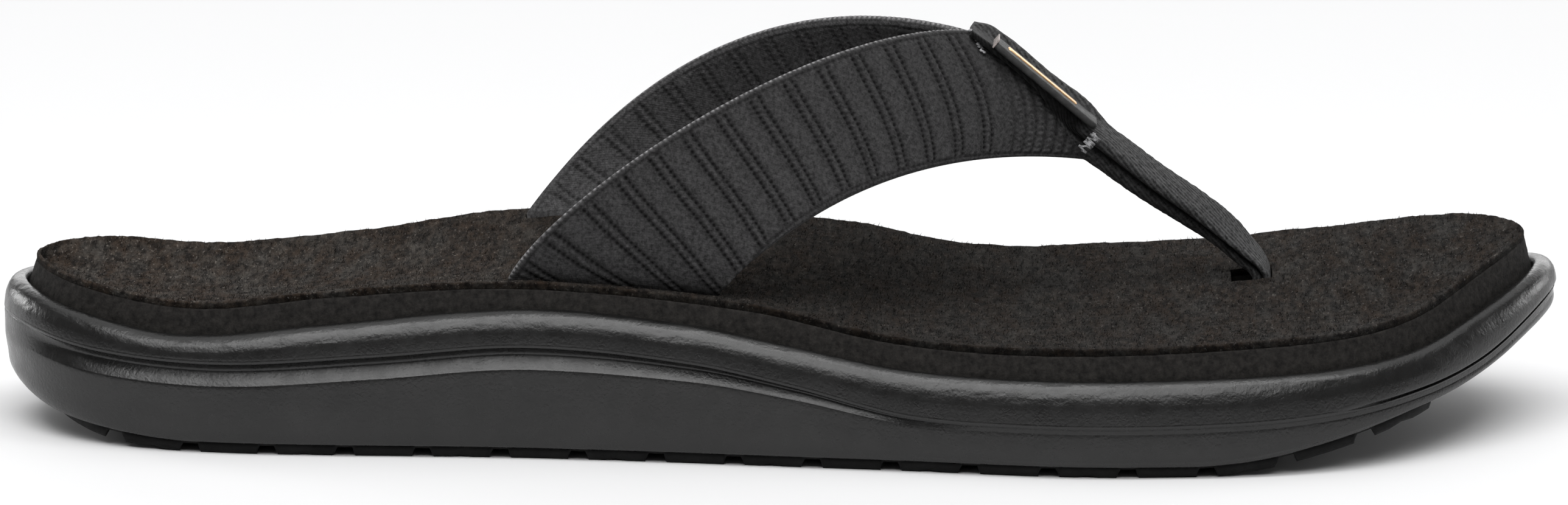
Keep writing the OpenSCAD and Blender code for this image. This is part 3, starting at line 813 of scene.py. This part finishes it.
SEAM_Y = 4.5
WEBBING = 2.2
TAB = 9.0
PLATE = 1.2
SEAM = np.array([(182.5, SEAM_Y, 44.2), (181.5, SEAM_Y, 50.5), (171.5, SEAM_Y, 59.2), (161.7, SEAM_Y, 66)])
LATERAL = (np.array([(121, -27.5, 27.3), (128, -35, 35), (146, -22, 53), (182.5, SEAM_Y, 44.2)]),
           np.array([(86, -24.5, 28.9), (93.5, -32, 44), (137, -22, 72.5), (161.7, SEAM_Y, 66)]), -1)
MEDIAL = (np.array([(121, 25.5, 31.8), (128, 35, 38), (146, 26, 54), (182.5, SEAM_Y, 44.2)]),
          np.array([(86, 21.5, 31.2), (100, 33, 50), (126, 24, 72.5), (161.7, SEAM_Y, 66)]), 1)
SLOT_GAP = 0.2
POST = np.array([210.4, 11.0])
POST_SLOT = (7.0, 7.4)


def bezier(c, t):
    """Points of a cubic curve with control points c."""
    t = np.asarray(t, float)[..., None]
    return c[0] * (1 - t) ** 3 + 3 * c[1] * (1 - t) ** 2 * t + 3 * c[2] * (1 - t) * t ** 2 + c[3] * t ** 3


def unit(a):
    """Vectors scaled to length 1."""
    return a / np.linalg.norm(a, axis=-1, keepdims=True)


def gap(a, b):
    """Distance between two points."""
    return np.linalg.norm(a - b)


def path_length(points):
    """Length of a path from its start to each of its points."""
    return np.concatenate([[0], np.cumsum(np.linalg.norm(np.diff(points, axis=0), axis=1))])


class Strap:
    """One webbing strap: a sheet spread between its lower and upper edge curves."""

    def __init__(self, lower, upper, side):
        self.lower, self.upper, self.side = lower, upper, side
        run = upper[0] - lower[0]
        self.out = unit(np.cross(run, (0, 0, 1))) * side

    def mid(self, u, v):
        """Middle surface, u along the strap to the seam and v from its lower edge to its upper edge."""
        u, v = np.asarray(u, float), np.asarray(v, float)
        across = v[..., None]
        pull = bezier(SEAM, v) - mix(self.lower[3], self.upper[3], across)
        return mix(bezier(self.lower, u), bezier(self.upper, u), across) + pull * u[..., None] ** 3

    def trim_to_seam(self, face, u, v):
        """Slides the end points of one face of the strap along it, to the seam's plane."""
        end = u > 1 - 1e-9
        step = self.mid(u[end], v[end]) - self.mid(np.full(end.sum(), 0.97), v[end])
        face[end] += step * ((SEAM_Y - face[end, 1]) / step[:, 1])[:, None]

    def normal(self, u, v):
        """Direction away from the foot."""
        d = 0.002
        w = np.clip(v, d, 1 - d)
        s = np.minimum(u, 1 - d)
        along = self.mid(s + d, w) - self.mid(s, w)
        across = self.mid(s, w + d) - self.mid(s, w - d)
        return unit(np.cross(across, along)) * self.side

    def weave_map(self, u_steps=160):
        """Unrolls the sheet, and gives the places along and across its middle line, in millimetres."""
        u = np.linspace(0, 1, u_steps + 1)
        low, high = self.mid(u, np.zeros_like(u)), self.mid(u, np.ones_like(u))
        flat_low, flat_high = [np.zeros(2)], [np.array([0.0, gap(high[0], low[0])])]

        def place(a, b, ra, rb):
            """Third corner at distances ra and rb from flat points a and b, to the right of a to b."""
            d = gap(b, a)
            x = (ra ** 2 - rb ** 2 + d ** 2) / (2 * d)
            y = math.sqrt(max(ra ** 2 - x ** 2, 0))
            e = (b - a) / d
            return a + e * x + np.array([e[1], -e[0]]) * y

        for i in range(u_steps):
            a, b = flat_low[-1], flat_high[-1]
            c = place(a, b, gap(low[i + 1], low[i]), gap(low[i + 1], high[i]))
            d = place(c, b, gap(high[i + 1], low[i + 1]), gap(high[i + 1], high[i]))
            flat_low.append(c)
            flat_high.append(d)
        flat_low, flat_high = np.array(flat_low), np.array(flat_high)
        line = (flat_low + flat_high) / 2
        first, last = unit(line[4] - line[0]), unit(line[-1] - line[-5])
        beyond = 40.0
        line = np.concatenate([[line[0] - first * beyond], line, [line[-1] + last * beyond]])
        run = path_length(line) - beyond

        def at(uu, vv):
            p = np.stack([np.interp(uu, u, flat_low[:, k]) * (1 - vv)
                          + np.interp(uu, u, flat_high[:, k]) * vv for k in (0, 1)], -1).reshape(-1, 2)
            out = np.empty((len(p), 2))
            starts, steps = line[:-1], np.diff(line, axis=0)
            lengths = np.linalg.norm(steps, axis=1)
            for n, q in enumerate(p):
                t = np.clip(((q - starts) * steps).sum(1) / lengths ** 2, 0, 1)
                near = starts + steps * t[:, None]
                k = np.linalg.norm(q - near, axis=1).argmin()
                e = steps[k] / lengths[k]
                out[n] = run[k] + t[k] * lengths[k], e[0] * (q - near[k])[1] - e[1] * (q - near[k])[0]
            return out

        return at


RIB_PITCH = 6.0
GROOVE_ONE, GROOVE_TWO, GROOVE_HALF = 1.1, 2.6, 0.34
BEAD_PITCH = 0.95
LADDER_LENGTH, LADDER_PITCH, LADDER_DASH = 24.0, 2.1, 1.05
SCALLOP_PITCH, RUNG_PITCH = 0.85, 1.1


def weave_relief(along, across, half_width, length):
    """Height and painted shade of the webbing: paired beaded grooves, a ladder by the seam, and selvedges.
    """
    drift = 0.25 * np.sin(across / 5.0)
    phase = (along + 0.35 + drift) % RIB_PITCH
    near_end = ease((along - (length - LADDER_LENGTH)) / 10)
    beads = ripple(across, BEAD_PITCH)
    offset_beads = 0.5 - 0.5 * np.cos(2 * np.pi * across / BEAD_PITCH)
    pair = (bump(phase, GROOVE_ONE, GROOVE_HALF) * (0.40 + 0.60 * beads)
            + bump(phase, GROOVE_TWO, GROOVE_HALF) * (0.40 + 0.60 * offset_beads))
    row = bump(phase, (GROOVE_ONE + GROOVE_TWO) / 2, 0.40) * (0.15 + 0.85 * offset_beads)
    panel = np.sin(np.pi * np.clip((phase - GROOVE_TWO) / (RIB_PITCH - GROOVE_TWO + GROOVE_ONE), 0, 1))
    ribs = 0.08 * panel + 0.16 * row - 0.44 * pair
    column = np.maximum(0, wave(along, LADDER_PITCH))
    dash = ripple(across, LADDER_DASH)
    ladder = 0.30 * column * dash - 0.26 * bump(along % LADDER_PITCH, 1.6, 0.3) * (0.5 + 0.5 * dash)
    body = ribs * (1 - near_end) + ladder * near_end
    edge = half_width - np.abs(across)
    inside = ease((edge - 0.9) / 0.9)
    rungs = wave(along, RUNG_PITCH) * bump(edge, 1.6, 0.7)
    selvedge = 0.14 * ripple(along, SCALLOP_PITCH) * bump(edge, 0.3, 0.5) - 0.18 * bump(edge, 1.1, 0.25)
    relief = body * inside + selvedge + 0.08 * rungs
    # Painted shade: darker in the grooves, lighter on the raised threads
    shade = np.clip(1.0 + 2.0 * np.minimum(relief, 0.16), 0.16, 1.35)
    return relief, shade


def selvedge_highlight(across, along, half_width):
    """Painted highlight along the upper edge, where light grazes the selvedge, and a fainter one along the
    lower edge.
    """
    edge = half_width - np.abs(across)
    with_painted_light = 0.55 + 0.45 * wave(along, SCALLOP_PITCH)
    return with_painted_light * bump(edge, 0.0, 0.26) * np.where(across > 0, 8.0, 1.2)


def build_strap(name, strap, node, material):
    """A webbing strap with its weave in the mesh, and its tail down to the anchor plate."""
    rows, columns = 460, 128
    u = np.linspace(0, 1, rows + 1)
    edge = np.linspace(-1, 1, columns + 1)
    v = 0.5 + 0.5 * np.sign(edge) * (1 - (1 - np.abs(edge)) ** 1.08)
    uu, vv = pairs(u, v)
    mid, normal = strap.mid(uu, vv), strap.normal(uu, vv)
    coarse_u, coarse_v = np.linspace(0, 1, 96), np.linspace(0, 1, 12)
    table = strap.weave_map()(*pairs(coarse_u, coarse_v)).reshape(len(coarse_u), len(coarse_v), 2)

    def lookup(k):
        """Distances along (0) or across (1) at every point, from the coarse weave map."""
        by_v = np.array([np.interp(v, coarse_v, row[:, k]) for row in table])
        return np.array([np.interp(u, coarse_u, by_v[:, j]) for j in range(columns + 1)]).T.ravel()

    along, across = lookup(0), lookup(1)
    length = along.max()
    half_width = np.abs(across.reshape(rows + 1, -1)).max(1).repeat(columns + 1)
    relief, shade = weave_relief(along, across, half_width, length)
    relief = relief * (1 - 0.9 * ease((uu - 0.975) / 0.02))
    back = relief * 0.6
    thin = 1 - 0.55 * bump(half_width - np.abs(across), 0, 0.55)
    half = WEBBING / 2 - 0.15
    fray = 0.06 * vertex_noise(mid, 1.0, 6, 2)
    sink = ease(u / 0.03).repeat(columns + 1)
    outer = mid + normal * (half * thin + (relief + fray) * sink)[:, None]
    inner = mid - normal * (half * thin + (back + fray) * sink)[:, None]
    strap.trim_to_seam(outer, uu, vv)
    strap.trim_to_seam(inner, uu, vv)

    # The tail runs down its slot and turns inwards as a flat tab: how far out, how high, how far turned
    low_z = OUTSOLE + PLATE + WEBBING / 2
    ends = mix(strap.lower[0], strap.upper[0], v[:, None])
    tail_outer, tail_inner, tail_map = [], [], []
    for stage, z, drop in ((-TAB, low_z, 1), (-TAB / 2, low_z, 1), (-half, low_z, 1), (0, low_z + half, 0.5),
                           (0, 12, 0), (0, 18, 0), (0, 24, 0)):
        base = np.column_stack([ends[:, 0], ends[:, 1], np.full(columns + 1, z)]) + strap.out * stage
        side = unit(strap.out * (1 - drop) - np.array([0, 0, 1]) * drop) * half
        tail_outer.append(base + side)
        tail_inner.append(base - side)
        tail_map.append(np.column_stack([np.full(columns + 1, z - 30.0), across[:columns + 1]]))
    outer = np.concatenate([*tail_outer, outer])
    inner = np.concatenate([*tail_inner, inner])
    uv = np.concatenate([*tail_map, np.column_stack([along, across])])

    faces = sheet_faces(len(outer) // (columns + 1), columns + 1, strap.side < 0)
    piece = new_mesh(name, np.concatenate([outer, inner]), faces, np.concatenate([uv, uv]))
    # Painted light and shade: the tails painted darker, the outer face with its groove shade and edge
    # highlight, the inner face painted lighter
    tail_shade = np.full((columns + 1) * len(tail_outer), 0.6)
    face_shade = shade + selvedge_highlight(across, along, half_width)
    back_shade = 1.9 * (0.45 + 0.55 * shade)
    paint(piece, np.concatenate([tail_shade, face_shade, tail_shade, back_shade]))
    finish_piece(piece, material, "webbing", node)


LINING = 0.9


def build_lining(straps):
    """Soft lining under the seam, one leaf on each strap, in one piece."""
    rows, columns = 40, 40
    u = np.linspace(0.88, 1, rows + 1)
    v = np.linspace(0.07, 0.95, columns + 1)
    uu, vv = pairs(u, v)
    half = WEBBING / 2 + 0.02
    points, faces = [], []
    for strap in straps:
        mid, normal = strap.mid(uu, vv), strap.normal(uu, vv)
        quilt = 0.05 * vertex_noise(mid, 1.2, 8, 3)
        leaf = [mid - normal * half, mid - normal * (half + LINING + quilt)[:, None]]
        for face in leaf:
            strap.trim_to_seam(face, uu, vv)
        start = sum(len(p) for p in points)
        faces += sheet_faces(rows + 1, columns + 1, strap.side < 0, start)
        points += leaf
    piece = new_mesh("seam_lining", np.concatenate(points), faces)
    finish_piece(piece, lining_knit(), "lining", "vamp_lining")


# ---------------------------------------------------------------- toe post

# Top face of the folded tape: place of its centre, width, depth, roll in degrees, and how folded it is
POST_ROUTE = np.array([(162.8, 5.0, 66.8, 9.2, 1.0, 0, 0), (169, 5.0, 62.4, 10.0, 1.2, 0, 0),
                       (175, 5.0, 57.3, 10.0, 1.5, 0, 0.0), (179, 4.9, 54.1, 9.2, 3.4, 5, 0.4),
                       (183, 4.7, 50.9, 8.0, 5.8, 13, 0.9), (188.3, 5.4, 46.8, 7.2, 6.0, 18, 1),
                       (194.7, 6.8, 41.6, 7.0, 5.6, 22, 1), (201.1, 8.8, 36.7, 7.0, 5.0, 25, 1),
                       (206.0, 10.0, 32.6, 7.0, 4.2, 27, 1), (209.8, 10.7, 28.9, 6.8, 3.7, 20, 1),
                       (213.0, 11.0, 25.2, 6.8, 3.2, 8, 1), (213.7, 11.0, 21.0, 6.8, 3.0, 0, 1),
                       (213.7, 11.0, 7.8, 6.8, 3.0, 0, 1)])
# Half outlines from the middle of the top face round to the middle underneath, in halves of the width
# and in depths: a plain flat tape, and the tape folded over its core with a lip along the fold
TAPE_HALF = np.array([(0, 0), (0.5, 0), (0.85, -0.02), (0.97, -0.12), (1, -0.4), (1, -0.6), (0.97, -0.88),
                      (0.85, -0.98), (0.5, -1), (0, -1)])
FOLD_HALF = np.array([(0, 0.02), (0.5, 0.0), (0.86, -0.03), (0.98, -0.10), (1.0, -0.22), (0.86, -0.33),
                      (0.62, -0.42), (0.82, -0.62), (0.66, -0.90), (0, -1)])
RIDGE_HEIGHT = 1.5
RIDGE_START, RIDGE_END = 161.5, 180.0


def closed_outline(half, steps):
    """Smooth closed outline from its half, mirrored."""
    loop = np.concatenate([half, (half[-2:0:-1] * (-1, 1))])
    return spline(loop, np.arange(0, len(loop), 1 / steps))[0]


def build_toe_post():
    """Tape over the seam, folded into the toe post."""
    route = np.array(smooth_rows(list(POST_ROUTE), [26] * len(POST_ROUTE)))
    top = route[:, :3]
    width, depth, roll, fold = route[:, 3:].T
    roll, fold = np.radians(roll), np.clip(fold, 0, 1)
    ahead = unit(np.gradient(top, axis=0))
    across = unit((0, 1, 0) - ahead * ahead[:, 1:2])
    up = np.cross(ahead, across)
    up *= np.sign((up * (0.7, 0, 0.7)).sum(1))[:, None]
    c, s = np.cos(roll)[:, None], np.sin(roll)[:, None]
    across, up = across * c + up * s, up * c - across * s
    run = path_length(top)
    tape, folded = closed_outline(TAPE_HALF, 7), closed_outline(FOLD_HALF, 7)
    sides = len(tape)
    rows, uv = [], []
    for i in range(len(route)):
        outline = mix(tape, folded, fold[i]) * (width[i] / 2, depth[i])
        ridge = ease((outline[:, 0] - 2.2) / 0.6) * (outline[:, 1] > -0.5 * depth[i])
        fade = ease((top[i, 0] - RIDGE_START) / 4) * (1 - ease((top[i, 0] - RIDGE_END) / 7))
        outline[:, 1] += RIDGE_HEIGHT * ridge * fade
        rows.append(top[i] + across[i] * outline[:, :1] + up[i] * outline[:, 1:])
        uv.append(np.column_stack([np.full(sides, run[i]), path_length(outline)]))
    points, uv = np.concatenate(rows), np.concatenate(uv)
    centre = (top - up * depth[:, None] / 2).repeat(sides, axis=0)
    outward = unit(points - centre)
    twill = wave(TWILL_ALONG * uv[:, 0] + TWILL_AROUND * uv[:, 1], TWILL_PITCH)
    fray = vertex_noise(points, 1.1, 9, 3)
    points = points + outward * (0.02 * twill + 0.10 * fray)[:, None]
    piece = new_mesh("toe_post_tape", points, tube_faces(len(route), sides, flip=True), uv)

    # Painted shade: darker inside and under the fold, with a painted shadow beside the label's near edge;
    # the rest is painted a little lighter
    under = np.tile(folded[:, 1], len(route))
    fold_shade = 1.5 * bump(under, -0.40, 0.10) + 0.35 * ease((-0.45 - under) / 0.1)
    outlines = mix(tape, folded, fold[:, None, None])
    near_edge = ease((-outlines[:, :, 0] - 0.78) / 0.12).ravel()
    label_shadow = near_edge * (1 - ease((route[:, 0].repeat(sides) - 181) / 3))
    paint(piece, np.clip(1.15 - fold_shade * fold.repeat(sides) - label_shadow, 0.12, 1.15))
    finish_piece(piece, twill_tape(), "twill_tape", "toe_post")


# ---------------------------------------------------------------- label and threads

LABEL_CENTRE = np.array([174.8, SEAM_Y - 1.75, 57.1])
LABEL_PITCH = math.radians(39.6)
LABEL_SIZE = (22.0, 7.5, 1.2)
INLAY = (15.0, 2.0)
INLAY_SHIFT = -1.3


def on_label(points):
    """Label plane to the pattern: x along the seam, y across, z outwards."""
    p = np.array(points, float).reshape(-1, 3)
    c, s = math.cos(LABEL_PITCH), math.sin(LABEL_PITCH)
    return LABEL_CENTRE + np.column_stack([c * p[:, 0] + s * p[:, 2], p[:, 1], -s * p[:, 0] + c * p[:, 2]])


def rounded_pad(size, corner, edge, segments=8):
    """A plate with rounded corners in plan and rounded edges, as points and faces."""
    length, width, thick = size
    corners = []
    for cx, cy, start in ((1, 1, 0), (-1, 1, 90), (-1, -1, 180), (1, -1, 270)):
        for k in range(segments + 1):
            a = math.radians(start + 90 * k / segments)
            corners.append((cx * (length / 2 - corner), cy * (width / 2 - corner), math.cos(a), math.sin(a)))
    turns = np.radians([90, 60, 30, 0])
    profile = [(edge * (1 - math.cos(a)), edge * (1 - math.sin(a))) for a in turns]
    profile += [(edge * (1 - math.cos(a)), thick - edge * (1 - math.sin(a))) for a in turns[::-1]]
    points = [(cx + ux * (corner - inset), cy + uy * (corner - inset), z)
              for inset, z in profile for cx, cy, ux, uy in corners]
    return np.array(points), tube_faces(len(profile), len(corners))


def build_label():
    """Rubber tab with its copper bar and the frayed edge at its cut end."""
    points, faces = rounded_pad(LABEL_SIZE, 1.0, 0.5)
    label = new_mesh("seam_label", on_label(points), faces)
    finish_piece(label, label_rubber(), "label_rubber", "label")

    bar_points, bar_faces = rounded_pad((INLAY[0], INLAY[1], 0.7), 0.6, 0.18)
    bar = new_mesh("label_bar", on_label(bar_points + (INLAY_SHIFT, 0, LABEL_SIZE[2] - 0.5)), bar_faces)
    finish_piece(bar, copper_bar(), "label_metal", "label_inlay")

    lip_points, lip_faces = rounded_pad((0.3, LABEL_SIZE[1] - 1.2, LABEL_SIZE[2] + 0.6), 0.14, 0.14)
    lip = new_mesh("label_cut_end", on_label(lip_points + (-LABEL_SIZE[0] / 2 - 0.1, 0, -0.1)), lip_faces)
    finish_piece(lip, bonded_thread("cut_edge", (0.10, 0.085, 0.08), (0.38, 0.33, 0.31)), "label_rubber")


def tube(path, radius, sides=8):
    """A closed thread along a path, as points and faces."""
    path = np.array(path)
    ahead = unit(np.gradient(path, axis=0))
    side = unit(np.cross(ahead, (0.3, 0.2, 0.93)))
    up = np.cross(ahead, side)
    a = np.linspace(0, 2 * np.pi, sides, endpoint=False)
    ring = np.cos(a)[None, :, None] * side[:, None] + np.sin(a)[None, :, None] * up[:, None]
    return (path[:, None] + radius * ring).reshape(-1, 3), tube_faces(len(path), sides, flip=True)


# Spot of the outer thread, on the near side of the tape where it folds into the toe post
POST_THREAD = (np.array([182.6, 0.35, 48.0]), unit(np.array([1.0, 0.0, -0.75])),
               unit(np.array([0.75, 0.0, 1.0])), np.array([0.0, -1.0, 0.0]))
THREAD_RADIUS = 0.17


def on_strap(strap, u, v):
    """Frame on the outer face of a strap: place, direction along it, direction across it, and outwards."""
    d = 0.004
    centre = strap.mid(np.array([u]), np.array([v]))[0]
    along = unit(strap.mid(np.array([u + d]), np.array([v]))[0] - centre)
    out = strap.normal(np.array([u]), np.array([v]))[0]
    return centre + out * WEBBING / 2, along, unit(np.cross(out, along)), out


def build_bartack(name, node, spot, length, width, bites):
    """A worn zigzag of thread at a spot: it swings along the strap while it runs across it."""
    centre, along, across, out = spot
    f = np.linspace(0, 1, bites * 10 + 1)
    zig = np.arcsin(np.sin(2 * np.pi * bites * f)) / (np.pi / 2)
    wander = rng.normal(0, 0.15, (bites + 1, 2))[(f * bites).astype(int)]
    path = (centre + along * (zig * width / 2 + wander[:, 0])[:, None]
            + across * ((f - 0.5) * length + wander[:, 1])[:, None]
            + out * (0.12 + 0.14 * np.abs(np.cos(2 * np.pi * bites * f)))[:, None])
    piece = new_mesh(name, *tube(path, THREAD_RADIUS))
    material = bonded_thread(name + "_thread", grey(0.03), (0.42, 0.42, 0.43))
    finish_piece(piece, material, "thread", node)


# ---------------------------------------------------------------- hidden CAD pieces, stage, light, camera

def finish_hidden_nodes():
    """Materials of the CAD pieces that stay as they are, inside the sole."""
    nylon = moulded_nylon()
    thread = bonded_thread("anchor_thread", grey(0.20), grey(0.30))
    for node, material in (("toe_post_anchor", nylon), ("anchor_plate_lateral", nylon),
                           ("anchor_plate_medial", nylon), ("anchor_stitches_lateral", thread),
                           ("anchor_stitches_medial", thread)):
        piece = frame["nodes"][node]
        piece.data.materials.clear()
        piece.data.materials.append(material)


def build_stage():
    """Pale paper floor."""
    reach = 6.0
    corners = [(-reach, -reach, 0), (reach, -reach, 0), (reach, reach, 0), (-reach, reach, 0)]
    mesh = bpy.data.meshes.new("floor")
    mesh.from_pydata(corners, [], [(0, 1, 2, 3)])
    floor = bpy.data.objects.new("floor", mesh)
    bpy.context.collection.objects.link(floor)
    paper = bpy.data.materials.new("paper")
    paper.use_nodes = True
    shader = paper.node_tree.nodes["Principled BSDF"]
    shader.inputs["Base Color"].default_value = (0.74, 0.74, 0.745, 1)
    shader.inputs["Roughness"].default_value = 0.9
    mesh.materials.append(paper)


def area_light(name, place, target, size, power):
    """A rectangular lamp that faces a target."""
    data = bpy.data.lights.new(name, "AREA")
    data.shape = "RECTANGLE"
    data.size, data.size_y = size
    data.energy = power
    lamp = bpy.data.objects.new(name, data)
    lamp.location = place
    lamp.rotation_euler = (Vector(target) - Vector(place)).to_track_quat("-Z", "Y").to_euler()
    bpy.context.collection.objects.link(lamp)


def build_lights():
    """High-key studio: a dim room, broad light from above and behind, and a softer fill from the front."""
    world_data = bpy.data.worlds.new("studio")
    world_data.use_nodes = True
    sky = world_data.node_tree.nodes["Background"]
    sky.inputs["Color"].default_value = (1.0, 1.0, 1.0, 1)
    sky.inputs["Strength"].default_value = 0.14
    bpy.context.scene.world = world_data
    bpy.context.scene.view_settings.view_transform = "Standard"
    area_light("overhead", (0.0, 0.35, 1.6), (0, 0, 0), (2.6, 2.0), 13)
    area_light("top_strip", (0.05, -0.25, 1.0), (0, 0, 0.02), (1.5, 0.22), 6.5)
    area_light("front_softbox", (-0.05, -0.80, 1.0), (0, 0, 0.02), (1.3, 0.6), 10)
    area_light("backlight", (0.1, 1.5, 0.55), (0, 0, 0.02), (2.2, 0.7), 12)
    area_light("heel_side", (-1.0, 0.60, 0.25), (-0.1, 0, 0.03), (0.3, 0.3), 2.6)
    area_light("toe_side", (1.0, 0.60, 0.25), (0.1, 0, 0.03), (0.3, 0.3), 1.6)


def build_camera():
    """Long lens at the sole's outer side, a little above it and turned slightly towards the toe."""
    distance, lens, sensor = 1.3, 176.3, 36.0
    rise, turn = math.radians(11), math.radians(-2)
    target = Vector((0.00075, 0, 0.0288))  # the middle of the picture
    ahead = Vector((math.sin(turn) * math.cos(rise), math.cos(turn) * math.cos(rise), -math.sin(rise)))
    data = bpy.data.cameras.new("camera")
    data.lens, data.sensor_width = lens, sensor
    camera = bpy.data.objects.new("camera", data)
    camera.location = target - ahead * distance
    camera.rotation_euler = ahead.to_track_quat("-Z", "Y").to_euler()
    bpy.context.collection.objects.link(camera)
    bpy.context.scene.camera = camera


build_camera()
build_stage()
build_lights()
build_outsole()
build_midsole()
build_footbed()
outer_strap, inner_strap = Strap(*LATERAL), Strap(*MEDIAL)
webbing = webbing_weave()
build_strap("outer_strap", outer_strap, "strap_lateral", webbing)
build_strap("inner_strap", inner_strap, "strap_medial", webbing)
build_lining((outer_strap, inner_strap))
build_toe_post()
build_label()
build_bartack("seam_thread_top", "bartack_apex", on_strap(outer_strap, 0.972, 0.88), 5, 1.2, 7)
build_bartack("seam_thread_outer", "bartack_lateral", POST_THREAD, 3.2, 2.2, 6)
build_bartack("seam_thread_inner", "bartack_medial", on_strap(inner_strap, 0.95, 0.16), 3.6, 2.4, 5)
finish_hidden_nodes()
